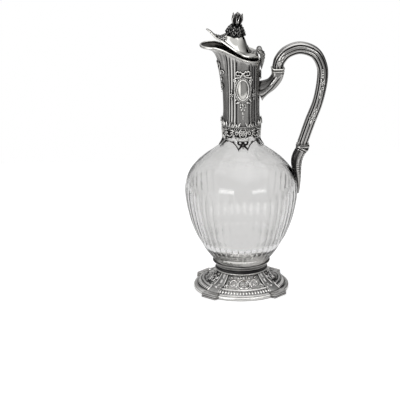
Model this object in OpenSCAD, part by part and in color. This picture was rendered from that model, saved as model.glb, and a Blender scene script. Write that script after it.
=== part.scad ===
// Claret jug: a fluted glass body in a silver mount, with a stamped foot,
// a spouted neck casing, a scrolled handle and a hinged lid with a bud finial.
// Millimetres. +Z is up, the origin is on the jug's axis at the table,
// the spout points to -X and the handle to +X.
// The lid is drawn as it stands, a little open on a stiff hinge.

/* [Glass] */
// Radius of the glass at the belly
belly_r = 56.4; // [50:0.1:64]
// Height of the belly
belly_z = 101; // [95:1:108]
// Radius where the glass leaves the foot's collar
seat_r = 27.2; // [26:0.1:29]
// Height of that seat
seat_z = 29.6; // [28.6:0.1:31]
// Thickness of the glass wall
glass_wall = 3.2; // [2.4:0.1:4.5]
// Thickness of the glass floor
glass_floor = 9; // [5:0.5:13]
// Outer radius of the glass neck inside the casing
glass_neck_r = 15.6; // [14:0.1:16]
// Depth that the throat liner reaches into the glass neck
spigot_h = 9; // [6:0.5:12]
// Height of the glass lip
glass_lip_z = 220; // [205:1:222]
// Number of flutes cut round the body
flutes = 40; // [24:1:48]
// Depth of a flute at the belly
flute_depth = 1.1; // [0.3:0.1:1.6]
// Height where the flutes run out
flute_top_z = 114; // [108:1:117]

/* [Foot] */
// Radius of the foot's rim
foot_r = 47.8; // [45:0.1:52]
// Height of the rim's upright edge
foot_edge_h = 3.4; // [2.6:0.1:4.2]
// Thickness of the stamped sheet
foot_sheet = 1.2; // [0.8:0.1:1.6]
// Radius of the bead round the border
border_r = 38.6; // [37:0.1:40]
// Height of that bead
border_z = 8.8; // [8.2:0.1:9.6]
// Radius of the dome's open top
dome_r = 24; // [23.4:0.1:25]
// Height of the dome's open top
dome_z = 19.2; // [18:0.1:20]
// Width of a corner tab
tab_w = 18; // [12:0.5:22]
// Reach of a corner tab beyond the foot's rim
tab_out = 3.8; // [2:0.1:6]
// Height of a corner tab
tab_h = 5.2; // [4.4:0.1:6]
// Width of a strap at the collar
strap_w_top = 8; // [5:0.5:10]
// Width of a strap at its tab
strap_w_low = 15; // [11:0.5:17]
// Height that a strap stands above the panels
strap_h = 0.9; // [0.5:0.1:1.4]
// Width of the rail along each side of a strap
rail_w = 1.5; // [1:0.1:2]

/* [Glass seat] */
// Radius of the cup's floor, the plain disc seen from below
cup_r = 22.2; // [20:0.1:22.6]
// Height of the cup's underside
cup_z = 14.4; // [12:0.1:15.5]
// Thickness of the cup
cup_sheet = 1; // [0.7:0.1:1.4]
// Width of the gallery ring's lip outside the glass
gallery_lip = 1.6; // [1:0.1:2.2]
// Thickness of the plaster bed under the glass
plaster_h = 4.4; // [3:0.1:5]

/* [Neck casing] */
// Radius of the casing at its plain middle
casing_r = 18.2; // [17.8:0.1:19]
// Thickness of the casing
casing_sheet = 1.1; // [0.8:0.1:1.3]
// Height where the casing meets the garland skirt
casing_z = 173; // [168:0.5:178]
// Height of a reed on the casing
reed_h = 0.75; // [0.3:0.05:1.2]
// Width of a reed
reed_w = 2.7; // [1.8:0.1:3.2]
// Height of the skirt's straight part, above where it starts to spread
skirt_neck_h = 17; // [14:0.5:19]
// Lowest height of the garland skirt's points
skirt_low_z = 149.4; // [148.6:0.1:153]
// Thickness of the garland skirt
skirt_sheet = 1.1; // [0.8:0.1:1.4]
// Radius of the arches cut between the skirt's points
arch_r = 10.5; // [8:0.5:12]
// Radius of the small piercings
piercing_r = 1.5; // [0.8:0.1:1.8]

/* [Neck ornaments] */
// Height of a cartouche's middle above the casing's lower edge
cartouche_up = 32; // [29:0.5:35]
// Height of a cartouche
cartouche_h = 23; // [18:0.5:25]
// Width of a cartouche
cartouche_w = 12.4; // [10:0.2:12.6]
// Width of a ribbon bow
bow_w = 12.4; // [10:0.2:12.6]
// Height of the ribbed shell between the hinge and the handle
palmette_h = 9.4; // [8:0.1:10]

/* [Mouth and spout] */
// Radius of the mouth at the back
mouth_r = 19; // [18.6:0.1:20]
// Radius of the spout's round end
spout_r = 14; // [11:0.5:16]
// Distance of that round end's centre from the axis
spout_reach = 27; // [20:0.5:30]
// Height of the rim at the spout
spout_z = 253.4; // [248:0.1:258]
// Height of the rim at the back
back_z = 237; // [234:0.1:239]
// Radius of the wire round the mouth
wire_r = 1.1; // [0.7:0.1:1.4]

/* [Lid and hinge] */
// How far the lid stands open, in degrees
lid_angle = 7; // [4:1:14]
// Overhang of the lid's edge past the mouth
lid_over = 0.5; // [0.2:0.1:0.9]
// Distance of the hinge pin from the axis
pin_x = 18.3; // [18:0.1:19]
// Height of the hinge pin
pin_z = 247; // [246:0.1:248]
// Radius of the hinge pin
pin_r = 0.9; // [0.7:0.05:1.2]
// Radius of the knuckles
knuckle_r = 2.7; // [2.4:0.1:3]
// Length of the lid's knuckle
knuckle_w = 5.2; // [4:0.1:6]
// Length of each of the two outer knuckles
ear_w = 3.6; // [3:0.1:5]
// Thickness of the lid's sheet
lid_sheet = 1.1; // [0.8:0.1:1.4]
// Height of the lid's edge band
lid_edge = 2; // [1.6:0.1:2.6]
// Height of the lid's crown above its edge
crown_h = 12.8; // [10:0.2:14]
// Distance of the crown from the axis, toward the spout
crown_x = 7.8; // [7:0.2:10]
// Radius of the round end of the lid's beak
beak_r = 4; // [3:0.5:8]
// Distance of that round end's centre from the axis
beak_reach = 29; // [26:0.5:31]
// Rise of the beak's tip
beak_rise = 4; // [0:0.5:6]
// Largest radius of the lid's dome, towards the beak
lid_dome_r = 20; // [16:0.5:24]
// Height of the finial's leafy base
calyx_h = 9; // [8:0.2:10]
// Radius of the finial's leafy base
calyx_r = 10.2; // [9:0.2:11]
// Height of the bud
bud_h = 13; // [11:0.5:15]
// Radius of the bud
bud_r = 5.7; // [5:0.1:6.6]

/* [Handle] */
// Distance of the collar's middle from the axis
collar_x = 36.4; // [35:0.1:38]
// Greatest reach of the handle's middle line from the axis
handle_reach = 81; // [76:0.5:88]
// Height of the handle's middle line at the top of its arch
handle_top_z = 248.4; // [244:0.1:254]
// Depth of the handle, seen from the side
handle_d = 11.6; // [9:0.1:13]
// Width of the handle, seen from behind
handle_w = 12.4; // [10:0.1:15]
// Height of the collar's underside
collar_z = 224.6; // [222:0.1:227]
// Height of the collar
collar_h = 4.4; // [3.8:0.1:5]
// Height of the knuckle where the handle turns in to the glass
knuckle_z = 147; // [145:0.5:149]
// Distance of the knuckle's middle outside the belly
knuckle_out = 5.2; // [3.8:0.1:7.4]
// Height of the tip of the leaf that ends the handle
leaf_tip_z = 97; // [94:0.5:104]
// Distance of the leaf's back from the glass, where it leaves the knuckle
leaf_bow = 9.1; // [7:0.1:11]
// Depth of the groove between two reeds of the handle
groove_d = 0.9; // [0.4:0.1:1.3]

/* [Fits] */
// Clearance left between two pieces that are soldered or bedded
solder_gap = 0.1; // [0.05:0.01:0.2]
// Radial clearance of the hinge pin
pin_gap = 0.05; // [0.02:0.01:0.1]
// Line of cement round the glass at its seat
bed_gap = 0.25; // [0.15:0.05:0.3]
// Clearance under a cast piece that lies on a curved sheet
seat_gap = 0.25; // [0.15:0.05:0.4]
// Clearance between the shut lid and the wire round the mouth
lid_gap = 0.65; // [0.6:0.05:1]
// Clearance between pieces that move past each other
run_gap = 0.35; // [0.3:0.05:0.5]

/* [Hidden] */
$fn = 96;

SILVER = [0.62, 0.61, 0.59];
BRIGHT = [0.78, 0.77, 0.75];
DARK = [0.36, 0.35, 0.34];
GLASS = [0.86, 0.89, 0.9, 0.35];
PLASTER = [0.85, 0.83, 0.76];

// ---------------------------------------------------------------- formulas

function lerp(a, b, t) = a + (b - a) * t;
function unit(t) = min(1, max(0, t));
function ease(t) = let (u = unit(t)) u * u * (3 - 2 * u);
function flat(lists) = [for (l = lists) each l];

// A smooth curve through stations [x, value, value...], read at x
function chord(s, i, k) =
    let (a = max(0, i - 1), b = min(len(s) - 1, i + 1)) (s[b][k] - s[a][k]) / (s[b][0] - s[a][0]);
function station_before(s, x) = max(0, min(len(s) - 2, len([for (p = s) if (p[0] <= x) 1]) - 1));
function through(s, x, k = 1) =
    let (i = station_before(s, x), h = s[i + 1][0] - s[i][0], t = (x - s[i][0]) / h)
    (1 + 2 * t) * (1 - t) * (1 - t) * s[i][k] + t * (1 - t) * (1 - t) * h * chord(s, i, k)
    + t * t * (3 - 2 * t) * s[i + 1][k] + t * t * (t - 1) * h * chord(s, i + 1, k);

// Faces between ring i and ring k of a skin whose rings have n points each
function band(i, k, n) = [for (j = [0 : n - 1], side = [0, 1])
    let (m = (j + 1) % n)
    side == 0 ? [i * n + j, k * n + j, i * n + m] : [i * n + m, k * n + j, k * n + m]];

// A skin over rings, closed by its first and last ring, or back on itself
module skin(rings, looped = false) {
    n = len(rings[0]);
    last = len(rings) - 1;
    sides = flat([for (i = [0 : last - 1]) band(i, i + 1, n)]);
    ends = [[for (j = [0 : n - 1]) j], [for (j = [n - 1 : -1 : 0]) last * n + j]];
    polyhedron(flat(rings), concat(sides, looped ? band(last, 0, n) : ends), convexity = 8);
}

cartouche_z = casing_z + cartouche_up;
knuckle_x = belly_r + knuckle_out;
// a height above everything on the neck, for cuts that run right through
over_all = spout_z + 10;

// ---------------------------------------------------------------- glass

// Outline of the glass body: height and radius
glass_outline = [
    [seat_z, seat_r], [38, 33.6], [46, 38.9], [62, 47.4], [80, 53.1], [belly_z, belly_r],
    [113, 55.1], [122, 51.4], [130, 45], [137, 37.2], [143.5, 28.6], [150, 20.6], [157, 16.8],
    [164, glass_neck_r], [180, glass_neck_r]
];
glass_base_z = cup_z + cup_sheet + plaster_h;
// Outer line of the cup: height and radius, up to the glass at its seat
cup_line = [[cup_z + 5, cup_r], [cup_z + 7.2, cup_r + 0.6], [seat_z - 4, seat_r - 1.9],
            [seat_z - 1.2, seat_r + 0.5], [seat_z, seat_r + 1.5]];
function cup_out(z) = z < cup_z + 5 ? cup_r : through(cup_line, z);
function cup_in(z) = cup_out(z) - cup_sheet * 1.25;
function glass_r(z) =
    z < seat_z ? cup_in(z) - bed_gap
    : z > 164 ? glass_neck_r : through(glass_outline, z);

// Flutes are shallow hollows between sharp edges, and their tops are round
flute_steps = 3;
function flute_cut(z, step) =
    let (round_top = step == 0 ? 0 : unit((flute_top_z - z) / 9), foot = unit((z - seat_z - 1.5) / 4))
    step == 0 ? 0 : flute_depth * sqrt(round_top) * sqrt(foot) * glass_r(z) / belly_r;
function round_ring(r, z, n) = [for (j = [0 : n - 1]) [r * cos(360 * j / n), r * sin(360 * j / n), z]];
function fluted_ring(z) = [for (j = [0 : flutes * flute_steps - 1])
    let (r = glass_r(z) - flute_cut(z, j % flute_steps), a = 360 * j / (flutes * flute_steps))
    [r * cos(a), r * sin(a), z]];

fluted_z = [glass_base_z, lerp(glass_base_z, seat_z, 0.35), lerp(glass_base_z, seat_z, 0.68), seat_z,
            31.6, 34.8, 43.5, 56, 73, 90, flute_top_z - 8, flute_top_z - 2.5, flute_top_z];
plain_z = [119.5, 125.5, 131.5, 137, 142, 146, 149.5, 153, 157, 164, glass_lip_z];
glass_neck_bore = glass_neck_r - glass_wall - 0.5;
hollow_floor_z = glass_base_z + glass_floor;
function hollow_r(z) =
    z < 60 ? (glass_r(60) - glass_wall) * sqrt(1 - pow((60 - z) / (60 - hollow_floor_z + 0.6), 2))
    : max(glass_neck_bore, glass_r(z) - glass_wall);
hollow_z = [glass_lip_z, 165, 156, 149, 142, 134, 124, 110, 92, 74, 58, 44, 34, hollow_floor_z];

module glass_body() {
    nf = flutes * flute_steps;
    low = [for (z = fluted_z) each fluted_ring(z)];
    high = [for (z = plain_z) each round_ring(glass_r(z), z, flutes)];
    hollow = [for (z = hollow_z) each round_ring(hollow_r(z), z, flutes)];
    h0 = len(low);
    rows = len(fluted_z);
    upper = len(plain_z) + len(hollow_z);
    // where three fluted columns meet one plain column
    gather = [for (j = [0 : flutes - 1])
        let (a = (rows - 1) * nf + j * flute_steps, b = h0 + j, c = h0 + (j + 1) % flutes,
             d = (rows - 1) * nf + (j + 1) % flutes * flute_steps)
        each [[a, b, a + 1], [a + 1, b, a + 2], [a + 2, b, c], [a + 2, c, d]]];
    sides = concat(
        flat([for (i = [0 : rows - 2]) band(i, i + 1, nf)]),
        gather,
        [for (i = [0 : upper - 2], f = band(i, i + 1, flutes)) [for (v = f) v + h0]]);
    ends = [[for (j = [0 : nf - 1]) j],
            [for (j = [flutes - 1 : -1 : 0]) h0 + (upper - 1) * flutes + j]];
    color(GLASS) polyhedron(concat(low, high, hollow), concat(sides, ends), convexity = 8);
}

// ---------------------------------------------------------------- foot

// Cove between the border's bead and the open top, at a share t of the way
function cove(t) = [lerp(border_r - 1.4, dome_r, t), lerp(border_z - 0.8, dome_z, pow(t, 1.45))];
cove_steps = [0.2, 0.36, 0.5, 0.63, 0.75, 0.88];
// Profile of the foot's upper face, from the table to the open top
foot_profile = concat([
    [foot_r, 0], [foot_r, foot_edge_h - 0.8], [foot_r - 0.8, foot_edge_h],
    [foot_r - 2.2, foot_edge_h + 0.2], [foot_r - 3, foot_edge_h + 1.4],
    [border_r + 1.4, border_z - 1], [border_r + 0.6, border_z], [border_r - 0.4, border_z], cove(0)],
    [for (t = cove_steps) cove(t)], [cove(1)]);
// The same sheet seen from below, one thickness in
foot_under = concat([
    [foot_r - foot_sheet, 0], [foot_r - foot_sheet, foot_edge_h - 0.8], [foot_r - 2.6, foot_edge_h - 0.9],
    [foot_r - 4, foot_edge_h + 0.2], [border_r + 0.8, border_z - 1.1 - foot_sheet],
    [border_r + 0.2, border_z - foot_sheet], [border_r - 0.2, border_z - foot_sheet],
    cove(0) - foot_sheet * [0.2, 1.15]],
    [for (t = cove_steps) cove(t) - foot_sheet * [0.6, 0.95]], [cove(1) - [0, foot_sheet * 1.2]]);
module foot_sheet_ring(lift) {
    rotate_extrude()
        translate([0, lift])
            polygon(concat(foot_profile, [for (i = [len(foot_under) - 1 : -1 : 0]) foot_under[i]]));
}
// Plan of a strap, widening from the collar to its tab
module strap_plan(inset) {
    x0 = dome_r - 2;
    x1 = foot_r - 2.9;
    polygon([[x0, -strap_w_top / 2 + inset], [x1, -strap_w_low / 2 + inset],
             [x1, strap_w_low / 2 - inset], [x0, strap_w_top / 2 - inset]]);
}
module at_corners() {
    for (a = [45 : 90 : 315]) rotate(a) children();
}
tab_root = foot_r - 3.6;
module tab_hollow(reach) {
    translate([tab_root - 1, -tab_w / 2 + foot_sheet, -1])
        cube([reach + 1, tab_w - 2 * foot_sheet, tab_h - foot_sheet + 1]);
}
module corner_tab() {
    reach = foot_r + tab_out - tab_root;
    difference() {
        translate([tab_root, -tab_w / 2, 0]) cube([reach, tab_w, tab_h]);
        tab_hollow(reach - foot_sheet);
    }
}
module foot_shell() {
    color(SILVER) difference() {
        union() {
            difference() {
                foot_sheet_ring(0);
                at_corners() linear_extrude(60, center = true) strap_plan(0);
                at_corners() tab_hollow(4);
            }
            intersection() {
                foot_sheet_ring(strap_h);
                at_corners() translate([0, 0, foot_edge_h - 0.4]) linear_extrude(30) strap_plan(0);
            }
            intersection() {
                foot_sheet_ring(strap_h + 0.7);
                at_corners() translate([0, 0, foot_edge_h - 0.4]) linear_extrude(30) difference() {
                    strap_plan(0);
                    strap_plan(rail_w);
                }
            }
            at_corners() corner_tab();
        }
        // the straps stop under the gallery ring
        translate([0, 0, dome_z]) cylinder(r = dome_r + 3, h = 5);
    }
}

// Cup that the glass is bedded in; its floor is the plain disc under the foot
function wall_rows(z0) = [for (t = [0, 0.14, 0.3, 0.5, 0.74, 1]) lerp(z0, seat_z - 1.4, t)];
module glass_cup() {
    rows = wall_rows(cup_z + 5);
    top = len(rows) - 1;
    color(BRIGHT) rotate_extrude() polygon(concat(
        [[0, cup_z], [cup_r - 0.8, cup_z], [cup_r, cup_z + 0.8]],
        [for (z = rows) [cup_out(z), z]],
        [for (i = [top : -1 : 0]) [cup_in(rows[i]), rows[i]]],
        [[cup_in(cup_z), cup_z + cup_sheet], [0, cup_z + cup_sheet]]));
}
// Bed of plaster under the glass
module cup_plaster() {
    h = glass_base_z - cup_z - cup_sheet;
    color(PLASTER) translate([0, 0, cup_z + cup_sheet]) cylinder(r = cup_in(cup_z) - solder_gap, h = h);
}
// Moulded ring between the foot and the glass
module gallery_ring() {
    lip_r = seat_r + gallery_lip;
    foot_z = dome_z + solder_gap;
    neck_z = lerp(dome_z, seat_z, 0.44);
    rows = wall_rows(foot_z);
    color(SILVER) rotate_extrude() polygon(concat(
        [[dome_r + 1.6, foot_z], [dome_r + 2.3, foot_z + 0.6], [dome_r + 2, foot_z + 1.5],
         [dome_r + 0.9, foot_z + 2.5], [cup_out(neck_z) + 1.3, neck_z],
         [cup_out(neck_z + 1.8) + 1.1, neck_z + 1.8], [lip_r - 1.1, seat_z - 2.6],
         [lip_r, seat_z - 1.6], [lip_r, seat_z - 0.8], [lip_r - 0.4, seat_z - 0.4],
         [glass_r(seat_z - 0.4) + bed_gap, seat_z - 0.4]],
        [for (i = [len(rows) - 1 : -1 : 0]) [cup_out(rows[i]) + solder_gap, rows[i]]]));
}

// ---------------------------------------------------------------- neck casing

// Plan of the mouth: a round back drawn out to a smaller round spout.
// The angle is measured from the spout, and k grows the outline evenly.
function mouth_out(a, k = 0) =
    let (rb = mouth_r + k, rs = spout_r + k, d = spout_reach, b = abs(a),
         tangent = 90 - asin((rb - rs) / d),
         turn = atan2(rs * sin(tangent), d + rs * cos(tangent)))
    b >= tangent ? rb : b >= turn ? rb / cos(b - tangent) : d * cos(b) + sqrt(rs * rs - pow(d * sin(b), 2));
// Height of the rim above a place along X: level at the spout, then falling to the back
function rim_z(x) =
    let (t = unit((x + spout_reach + 1) / (spout_reach + 1 + mouth_r)))
    lerp(spout_z, back_z, unit(rim_fall(t)));
function rim_fall(t) =
    through([[0, 0], [0.17, 0.14], [0.34, 0.36], [0.51, 0.58], [0.68, 0.77], [0.85, 0.91], [1, 1]], t);

reed_angles = [45, 65, 115, 135];
reed_half = reed_w / casing_r * 90 / PI;
function reed(a) = [a - reed_half, a, a + reed_half];
half_angles = concat([0, 6, 12, 18, 24, 33], reed(45), [55], reed(65), [77.5, 90, 102.5],
                     reed(115), [125], reed(135), [148, 164, 180]);
angles = concat(half_angles, [for (i = [len(half_angles) - 2 : -1 : 1]) -half_angles[i]]);
function on_reed(a) = len([for (r = reed_angles) if (abs(abs(a) - r) < 0.01) 1]);

// The casing flares slowly, then turns out flat at the spout's lip
waist = [[casing_z, 1.2], [casing_z + 5, 0.5], [casing_z + 13, 0], [casing_z + 90, 0]];
function flare(t) = 0.5 * pow(t, 3.3) + 0.5 * pow(t, 30);
function casing_point(a, t, k) =
    let (lip = mouth_out(a, k), top = rim_z(-lip * cos(a)) - wire_r - solder_gap,
         z = lerp(casing_z, top, t),
         r = lerp(casing_r + k, lip, flare(t)) + through(waist, z)
             + (k < 0 ? 0 : on_reed(a) * reed_h * ease((1 - t) * 12)))
    [-r * cos(a), r * sin(a), z];

module neck_casing() {
    inner = [0, 0.16, 0.4, 0.64, 0.78, 0.87, 0.93, 0.97, 1];
    outer = [1, 0.98, 0.95, 0.91, 0.85, 0.78, 0.7, 0.6, 0.48, 0.32, 0.16, 0.07, 0];
    color(SILVER) skin(concat(
        [for (t = inner) [for (a = angles) casing_point(a, t, -casing_sheet)]],
        [for (t = outer) [for (a = angles) casing_point(a, t, 0)]]), looped = true);
}

module mouth_wire() {
    sides = 6;
    color(BRIGHT) skin([for (i = [0 : sides - 1])
        let (c = wire_r * cos(360 * i / sides), s = wire_r * sin(360 * i / sides))
        [for (a = angles)
            let (r = mouth_out(a, c - casing_sheet / 2))
            [-r * cos(a), r * sin(a), rim_z(-mouth_out(a) * cos(a)) - s]]], looped = true);
}

// Plaster that holds the glass neck in the casing
module neck_plaster() {
    r = casing_r - casing_sheet - seat_gap;
    color(PLASTER) translate([0, 0, casing_z + 1]) difference() {
        cylinder(r = r, h = glass_lip_z - casing_z - 1);
        translate([0, 0, -1]) cylinder(r = glass_neck_r + solder_gap, h = glass_lip_z);
    }
}

// Funnel that closes the casing over the glass lip
module throat_liner() {
    bore = glass_neck_bore - solder_gap;
    brim = casing_r - casing_sheet - seat_gap;
    spigot = glass_lip_z - spigot_h;
    color(BRIGHT) rotate_extrude() polygon([
        [brim, glass_lip_z], [brim, glass_lip_z + 2.4], [brim - 0.9, glass_lip_z + 2.4],
        [bore, glass_lip_z + 1.2], [bore - 0.8, glass_lip_z], [bore - 0.8, spigot],
        [bore, spigot], [bore, glass_lip_z]
    ]);
}

// Pierced skirt that spreads over the glass, with a point at the front, back and sides
function skirt_in(z) =
    max(glass_r(z) + seat_gap + 0.15,
        casing_r + 0.1 - (casing_z - z) / skirt_neck_h);
module garland_skirt() {
    rows = [for (t = [0, 0.05, 0.1, 0.16, 0.23, 0.32, 0.44, 0.62, 0.83, 1])
        lerp(skirt_low_z, casing_z - solder_gap, t)];
    color(SILVER) difference() {
        rotate_extrude() polygon(concat(
            [for (z = rows) [skirt_in(z) + skirt_sheet, z]],
            [for (i = [len(rows) - 1 : -1 : 0]) [skirt_in(rows[i]), rows[i]]]));
        for (a = [45 : 90 : 315]) rotate(a)
            translate([0, 0, skirt_low_z - 3]) rotate([0, 90, 0]) cylinder(r = arch_r, h = 60);
        for (a = [0 : 22.5 : 337.5]) rotate(a)
            translate([0, 0, skirt_low_z + (a % 45 == 0 ? 16.5 : 10.8)]) rotate([0, 90, 0])
                cylinder(r = piercing_r * (a % 45 == 0 ? 0.8 : 1), h = 60, $fn = 24);
    }
}

// ---------------------------------------------------------------- ornaments on the neck

cartouche_rim = 1.6;
function oval(w, h) = [for (a = [0 : 15 : 345]) [w / 2 * cos(a), h / 2 * sin(a)]];
// A shape drawn on the neck, cut from a curved sheet that lies on the casing
module on_neck(lift, thick) {
    intersection() {
        translate([0, 0, cartouche_z]) rotate([90, 0, 0]) linear_extrude(30) children();
        difference() {
            cylinder(r = casing_r + solder_gap + lift + thick, h = over_all);
            translate([0, 0, -1]) cylinder(r = casing_r + solder_gap + lift, h = over_all + 2);
        }
    }
}
module side_cartouches() {
    color(BRIGHT) for (s = [0, 180]) rotate(s) {
        on_neck(0.1, 1.4) difference() {
            polygon(oval(cartouche_w, cartouche_h));
            polygon(oval(cartouche_w - 2 * cartouche_rim, cartouche_h - 2 * cartouche_rim));
        }
        on_neck(0.1, 0.7) polygon(oval(cartouche_w - 2 * cartouche_rim, cartouche_h - 2 * cartouche_rim));
    }
}
// Ribbon bow tied over each cartouche
module bow(w, h) {
    for (s = [-1, 1]) translate([s * w / 4, 0]) difference() {
        polygon(oval(w / 2, h));
        polygon(oval(w / 2 - 2.2, h - 2.6));
    }
    circle(r = 1.5, $fn = 24);
}
module ribbon_bows() {
    bow_h = 5.6;
    color(BRIGHT) for (s = [0, 180]) rotate(s)
        on_neck(0.2, 1.5) translate([0, (cartouche_h + bow_h) / 2 + 0.5]) bow(bow_w, bow_h);
}

// Ribbed shell on the back of the neck, between the handle and the hinge
module back_palmette() {
    z0 = pin_z - bracket_h - 1.2 - palmette_h;
    lobes = 7;
    face = casing_r + on_reed(180) * reed_h + seat_gap + 0.5;
    color(SILVER) intersection() {
        translate([10, 0, z0]) rotate([90, 0, 90]) linear_extrude(20) union() {
            polygon([[-7.4, 2], [7.4, 2], [5.4, palmette_h], [-5.4, palmette_h]]);
            for (i = [0 : lobes - 1]) translate([(i - 3) * 2.2, 2.1 - 0.16 * (3 - abs(i - 3))])
                circle(r = 1.5, $fn = 24);
        }
        difference() {
            cylinder(r = face + 1.55, h = over_all);
            translate([0, 0, -1]) cylinder(r = face, h = over_all + 2);
            for (i = [0 : lobes]) rotate((i - 3.5) * 6.2)
                translate([face + 1.85, 0, 0]) cylinder(r = 0.7, h = over_all, $fn = 24);
        }
    }
}

// ---------------------------------------------------------------- hinge

ear_y = knuckle_w / 2 + run_gap;
bracket_h = 18;
module along_pin(r, w, y) {
    translate([pin_x, y, pin_z]) rotate([-90, 0, 0]) cylinder(r = r, h = w, $fn = 48);
}
module pin_hole() {
    along_pin(pin_r + pin_gap, 40, -20);
}
// Scrolled bracket on the back of the rim, with the two outer knuckles
module hinge_bracket() {
    back = mouth_r + wire_r - casing_sheet / 2 + solder_gap;
    color(SILVER) difference() {
        union() {
            for (s = [-1, 1]) along_pin(knuckle_r, ear_w, s > 0 ? ear_y : -ear_y - ear_w);
            for (s = [-1, 1]) translate([0, s > 0 ? ear_y + ear_w : -ear_y, 0]) rotate([90, 0, 0])
                linear_extrude(ear_w) polygon([
                    [pin_x, pin_z - knuckle_r], [pin_x + knuckle_r, pin_z], [pin_x + 4, pin_z - 4.5],
                    [pin_x + 4.2, pin_z - 8], [pin_x + 3.2, pin_z - 12], [pin_x - 1, pin_z - 12]]);
            translate([0, ear_y + ear_w, 0]) rotate([90, 0, 0]) linear_extrude(2 * (ear_y + ear_w)) polygon([
                [pin_x - 1, pin_z - 7.6], [pin_x + 4.2, pin_z - 7.6], [pin_x + 3.2, pin_z - 12],
                [pin_x + 1.6, pin_z - bracket_h], [pin_x - 2, pin_z - bracket_h]]);
        }
        pin_hole();
        translate([0, 0, skirt_low_z]) cylinder(r = back, h = pin_z - knuckle_r - skirt_low_z);
    }
}
module hinge_pin() {
    w = ear_y + ear_w;
    color(BRIGHT) union() {
        along_pin(pin_r, 2 * w + 0.6, -w - 0.3);
        for (s = [-1, 1]) along_pin(pin_r + 0.5, 0.8, s > 0 ? w + 0.15 : -w - 0.95);
    }
}

// ---------------------------------------------------------------- lid

// The lid is built shut, then turned open about the pin
module lid_pose() {
    translate([pin_x, 0, pin_z]) rotate([0, lid_angle, 0]) translate([-pin_x, 0, -pin_z]) children();
}
// Reach of the lid's edge from its crown, in a direction measured from the spout
lid_back_x = pin_x - 1.6;
function far(c, r, a) = let (b = c * cos(a)) b + sqrt(max(0, r * r - c * c + b * b));
function lid_reach(a, k = 0) =
    let (rb = mouth_r + lid_over + k, rs = beak_r + lid_over + k, b = abs(a),
         tangent = 90 - asin((rb - rs) / beak_reach),
         side = (rb - crown_x * cos(tangent)) / cos(b - tangent),
         x = crown_x + side * cos(b), front = beak_reach + rs * cos(tangent), back = rb * cos(tangent))
    min(b > 90 ? (crown_x + lid_back_x + k) / -cos(b) : 1000,
        b > 140 || x < back ? far(-crown_x, rb, b) : b < 10 || x > front ? far(beak_reach - crown_x, rs, b) : side);
lid_steps = 48;
lid_angles = [for (i = [0 : lid_steps - 1]) 360 * i / lid_steps - 180];
function lid_xy(a, r) = [-crown_x - r * cos(a), r * sin(a)];

// Height of the lid's edge, and of its top: a dome, with the beak running out from its foot
crown_z = rim_z(-crown_x) + wire_r + lid_gap + lid_edge + crown_h - 0.8;
function lid_low_z(x) =
    rim_z(x) + wire_r + lid_gap + 2.4 * ease((x - 1) / 14) + beak_rise * ease((3 - x - beak_reach) / 8);
function lid_height(x, y) =
    let (dx = -crown_x - x, u = min(1, norm([dx, y]) / min(lid_dome_r, lid_reach(atan2(y, dx)))))
    lerp(crown_z - 1.2 * u * u, lid_low_z(x) + lid_edge + 0.9 * (1 - u * u), ease((u - 0.32) / 0.58));
function lid_ring(u, k, drop) = [for (a = lid_angles)
    let (p = lid_xy(a, u * lid_reach(a, k)), o = lid_xy(a, u * lid_reach(a)))
    [p[0], p[1], lid_height(o[0], o[1]) - drop]];
function crown_ring(z) = [for (a = lid_angles) let (p = lid_xy(a, 1.5)) [p[0], p[1], z]];
edge_in = 1.5;
module lid_shell() {
    rows = [0.24, 0.34, 0.42, 0.5, 0.58, 0.66, 0.75, 0.85, 1];
    under = [0.93, 0.83, 0.72, 0.61, 0.51, 0.41, 0.3];
    color(SILVER) lid_pose() skin(concat(
        [crown_ring(crown_z)], [for (u = rows) lid_ring(u, 0, 0)],
        [for (k = [0, -edge_in]) [for (a = lid_angles)
            let (p = lid_xy(a, lid_reach(a, k))) [p[0], p[1], lid_low_z(p[0])]]],
        [for (u = under) lid_ring(u, -edge_in, lid_sheet)], [crown_ring(crown_z - lid_sheet)]));
}
// Knuckle and strap that carry the lid
module hinge_strap() {
    reach = crown_x + lid_back_x;
    foot = [for (u = [0.78, 0.82, 0.87, 0.92, 0.96])
        let (x = u * reach - crown_x) [x, lid_height(x, 0) + seat_gap]];
    color(SILVER) lid_pose() difference() {
        union() {
            along_pin(knuckle_r, knuckle_w, -knuckle_w / 2);
            translate([0, knuckle_w / 2, 0]) rotate([90, 0, 0]) linear_extrude(knuckle_w) polygon(concat(
                foot, [[pin_x - 0.8, pin_z - knuckle_r + 0.1], [pin_x, pin_z + knuckle_r - 0.2],
                       [pin_x - 4, pin_z + 1.8], [foot[0][0] + 1.6, foot[0][1] + 1]]));
        }
        pin_hole();
    }
}
// Leaf laid along the beak
module beak_leaf() {
    stations = [[0, 3], [2, 4], [5, 3.6], [8, 2.2], [10, 0.9]];
    shares = [-1, -0.5, 0, 0.5, 1];
    function row(x, w, edge, rise, order) = [for (q = order)
        [x, q * w, lid_height(x, q * w) + seat_gap + 0.1 + edge + rise * (1 - q * q)]];
    color(SILVER) lid_pose() skin([for (i = [0 : 10])
        let (s = i, w = through(stations, s), x = -crown_x - calyx_r - seat_gap - s)
        concat(row(x, w, 0.4, 1.1, shares), row(x, w, 0, 0.2, -shares))]);
}

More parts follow.
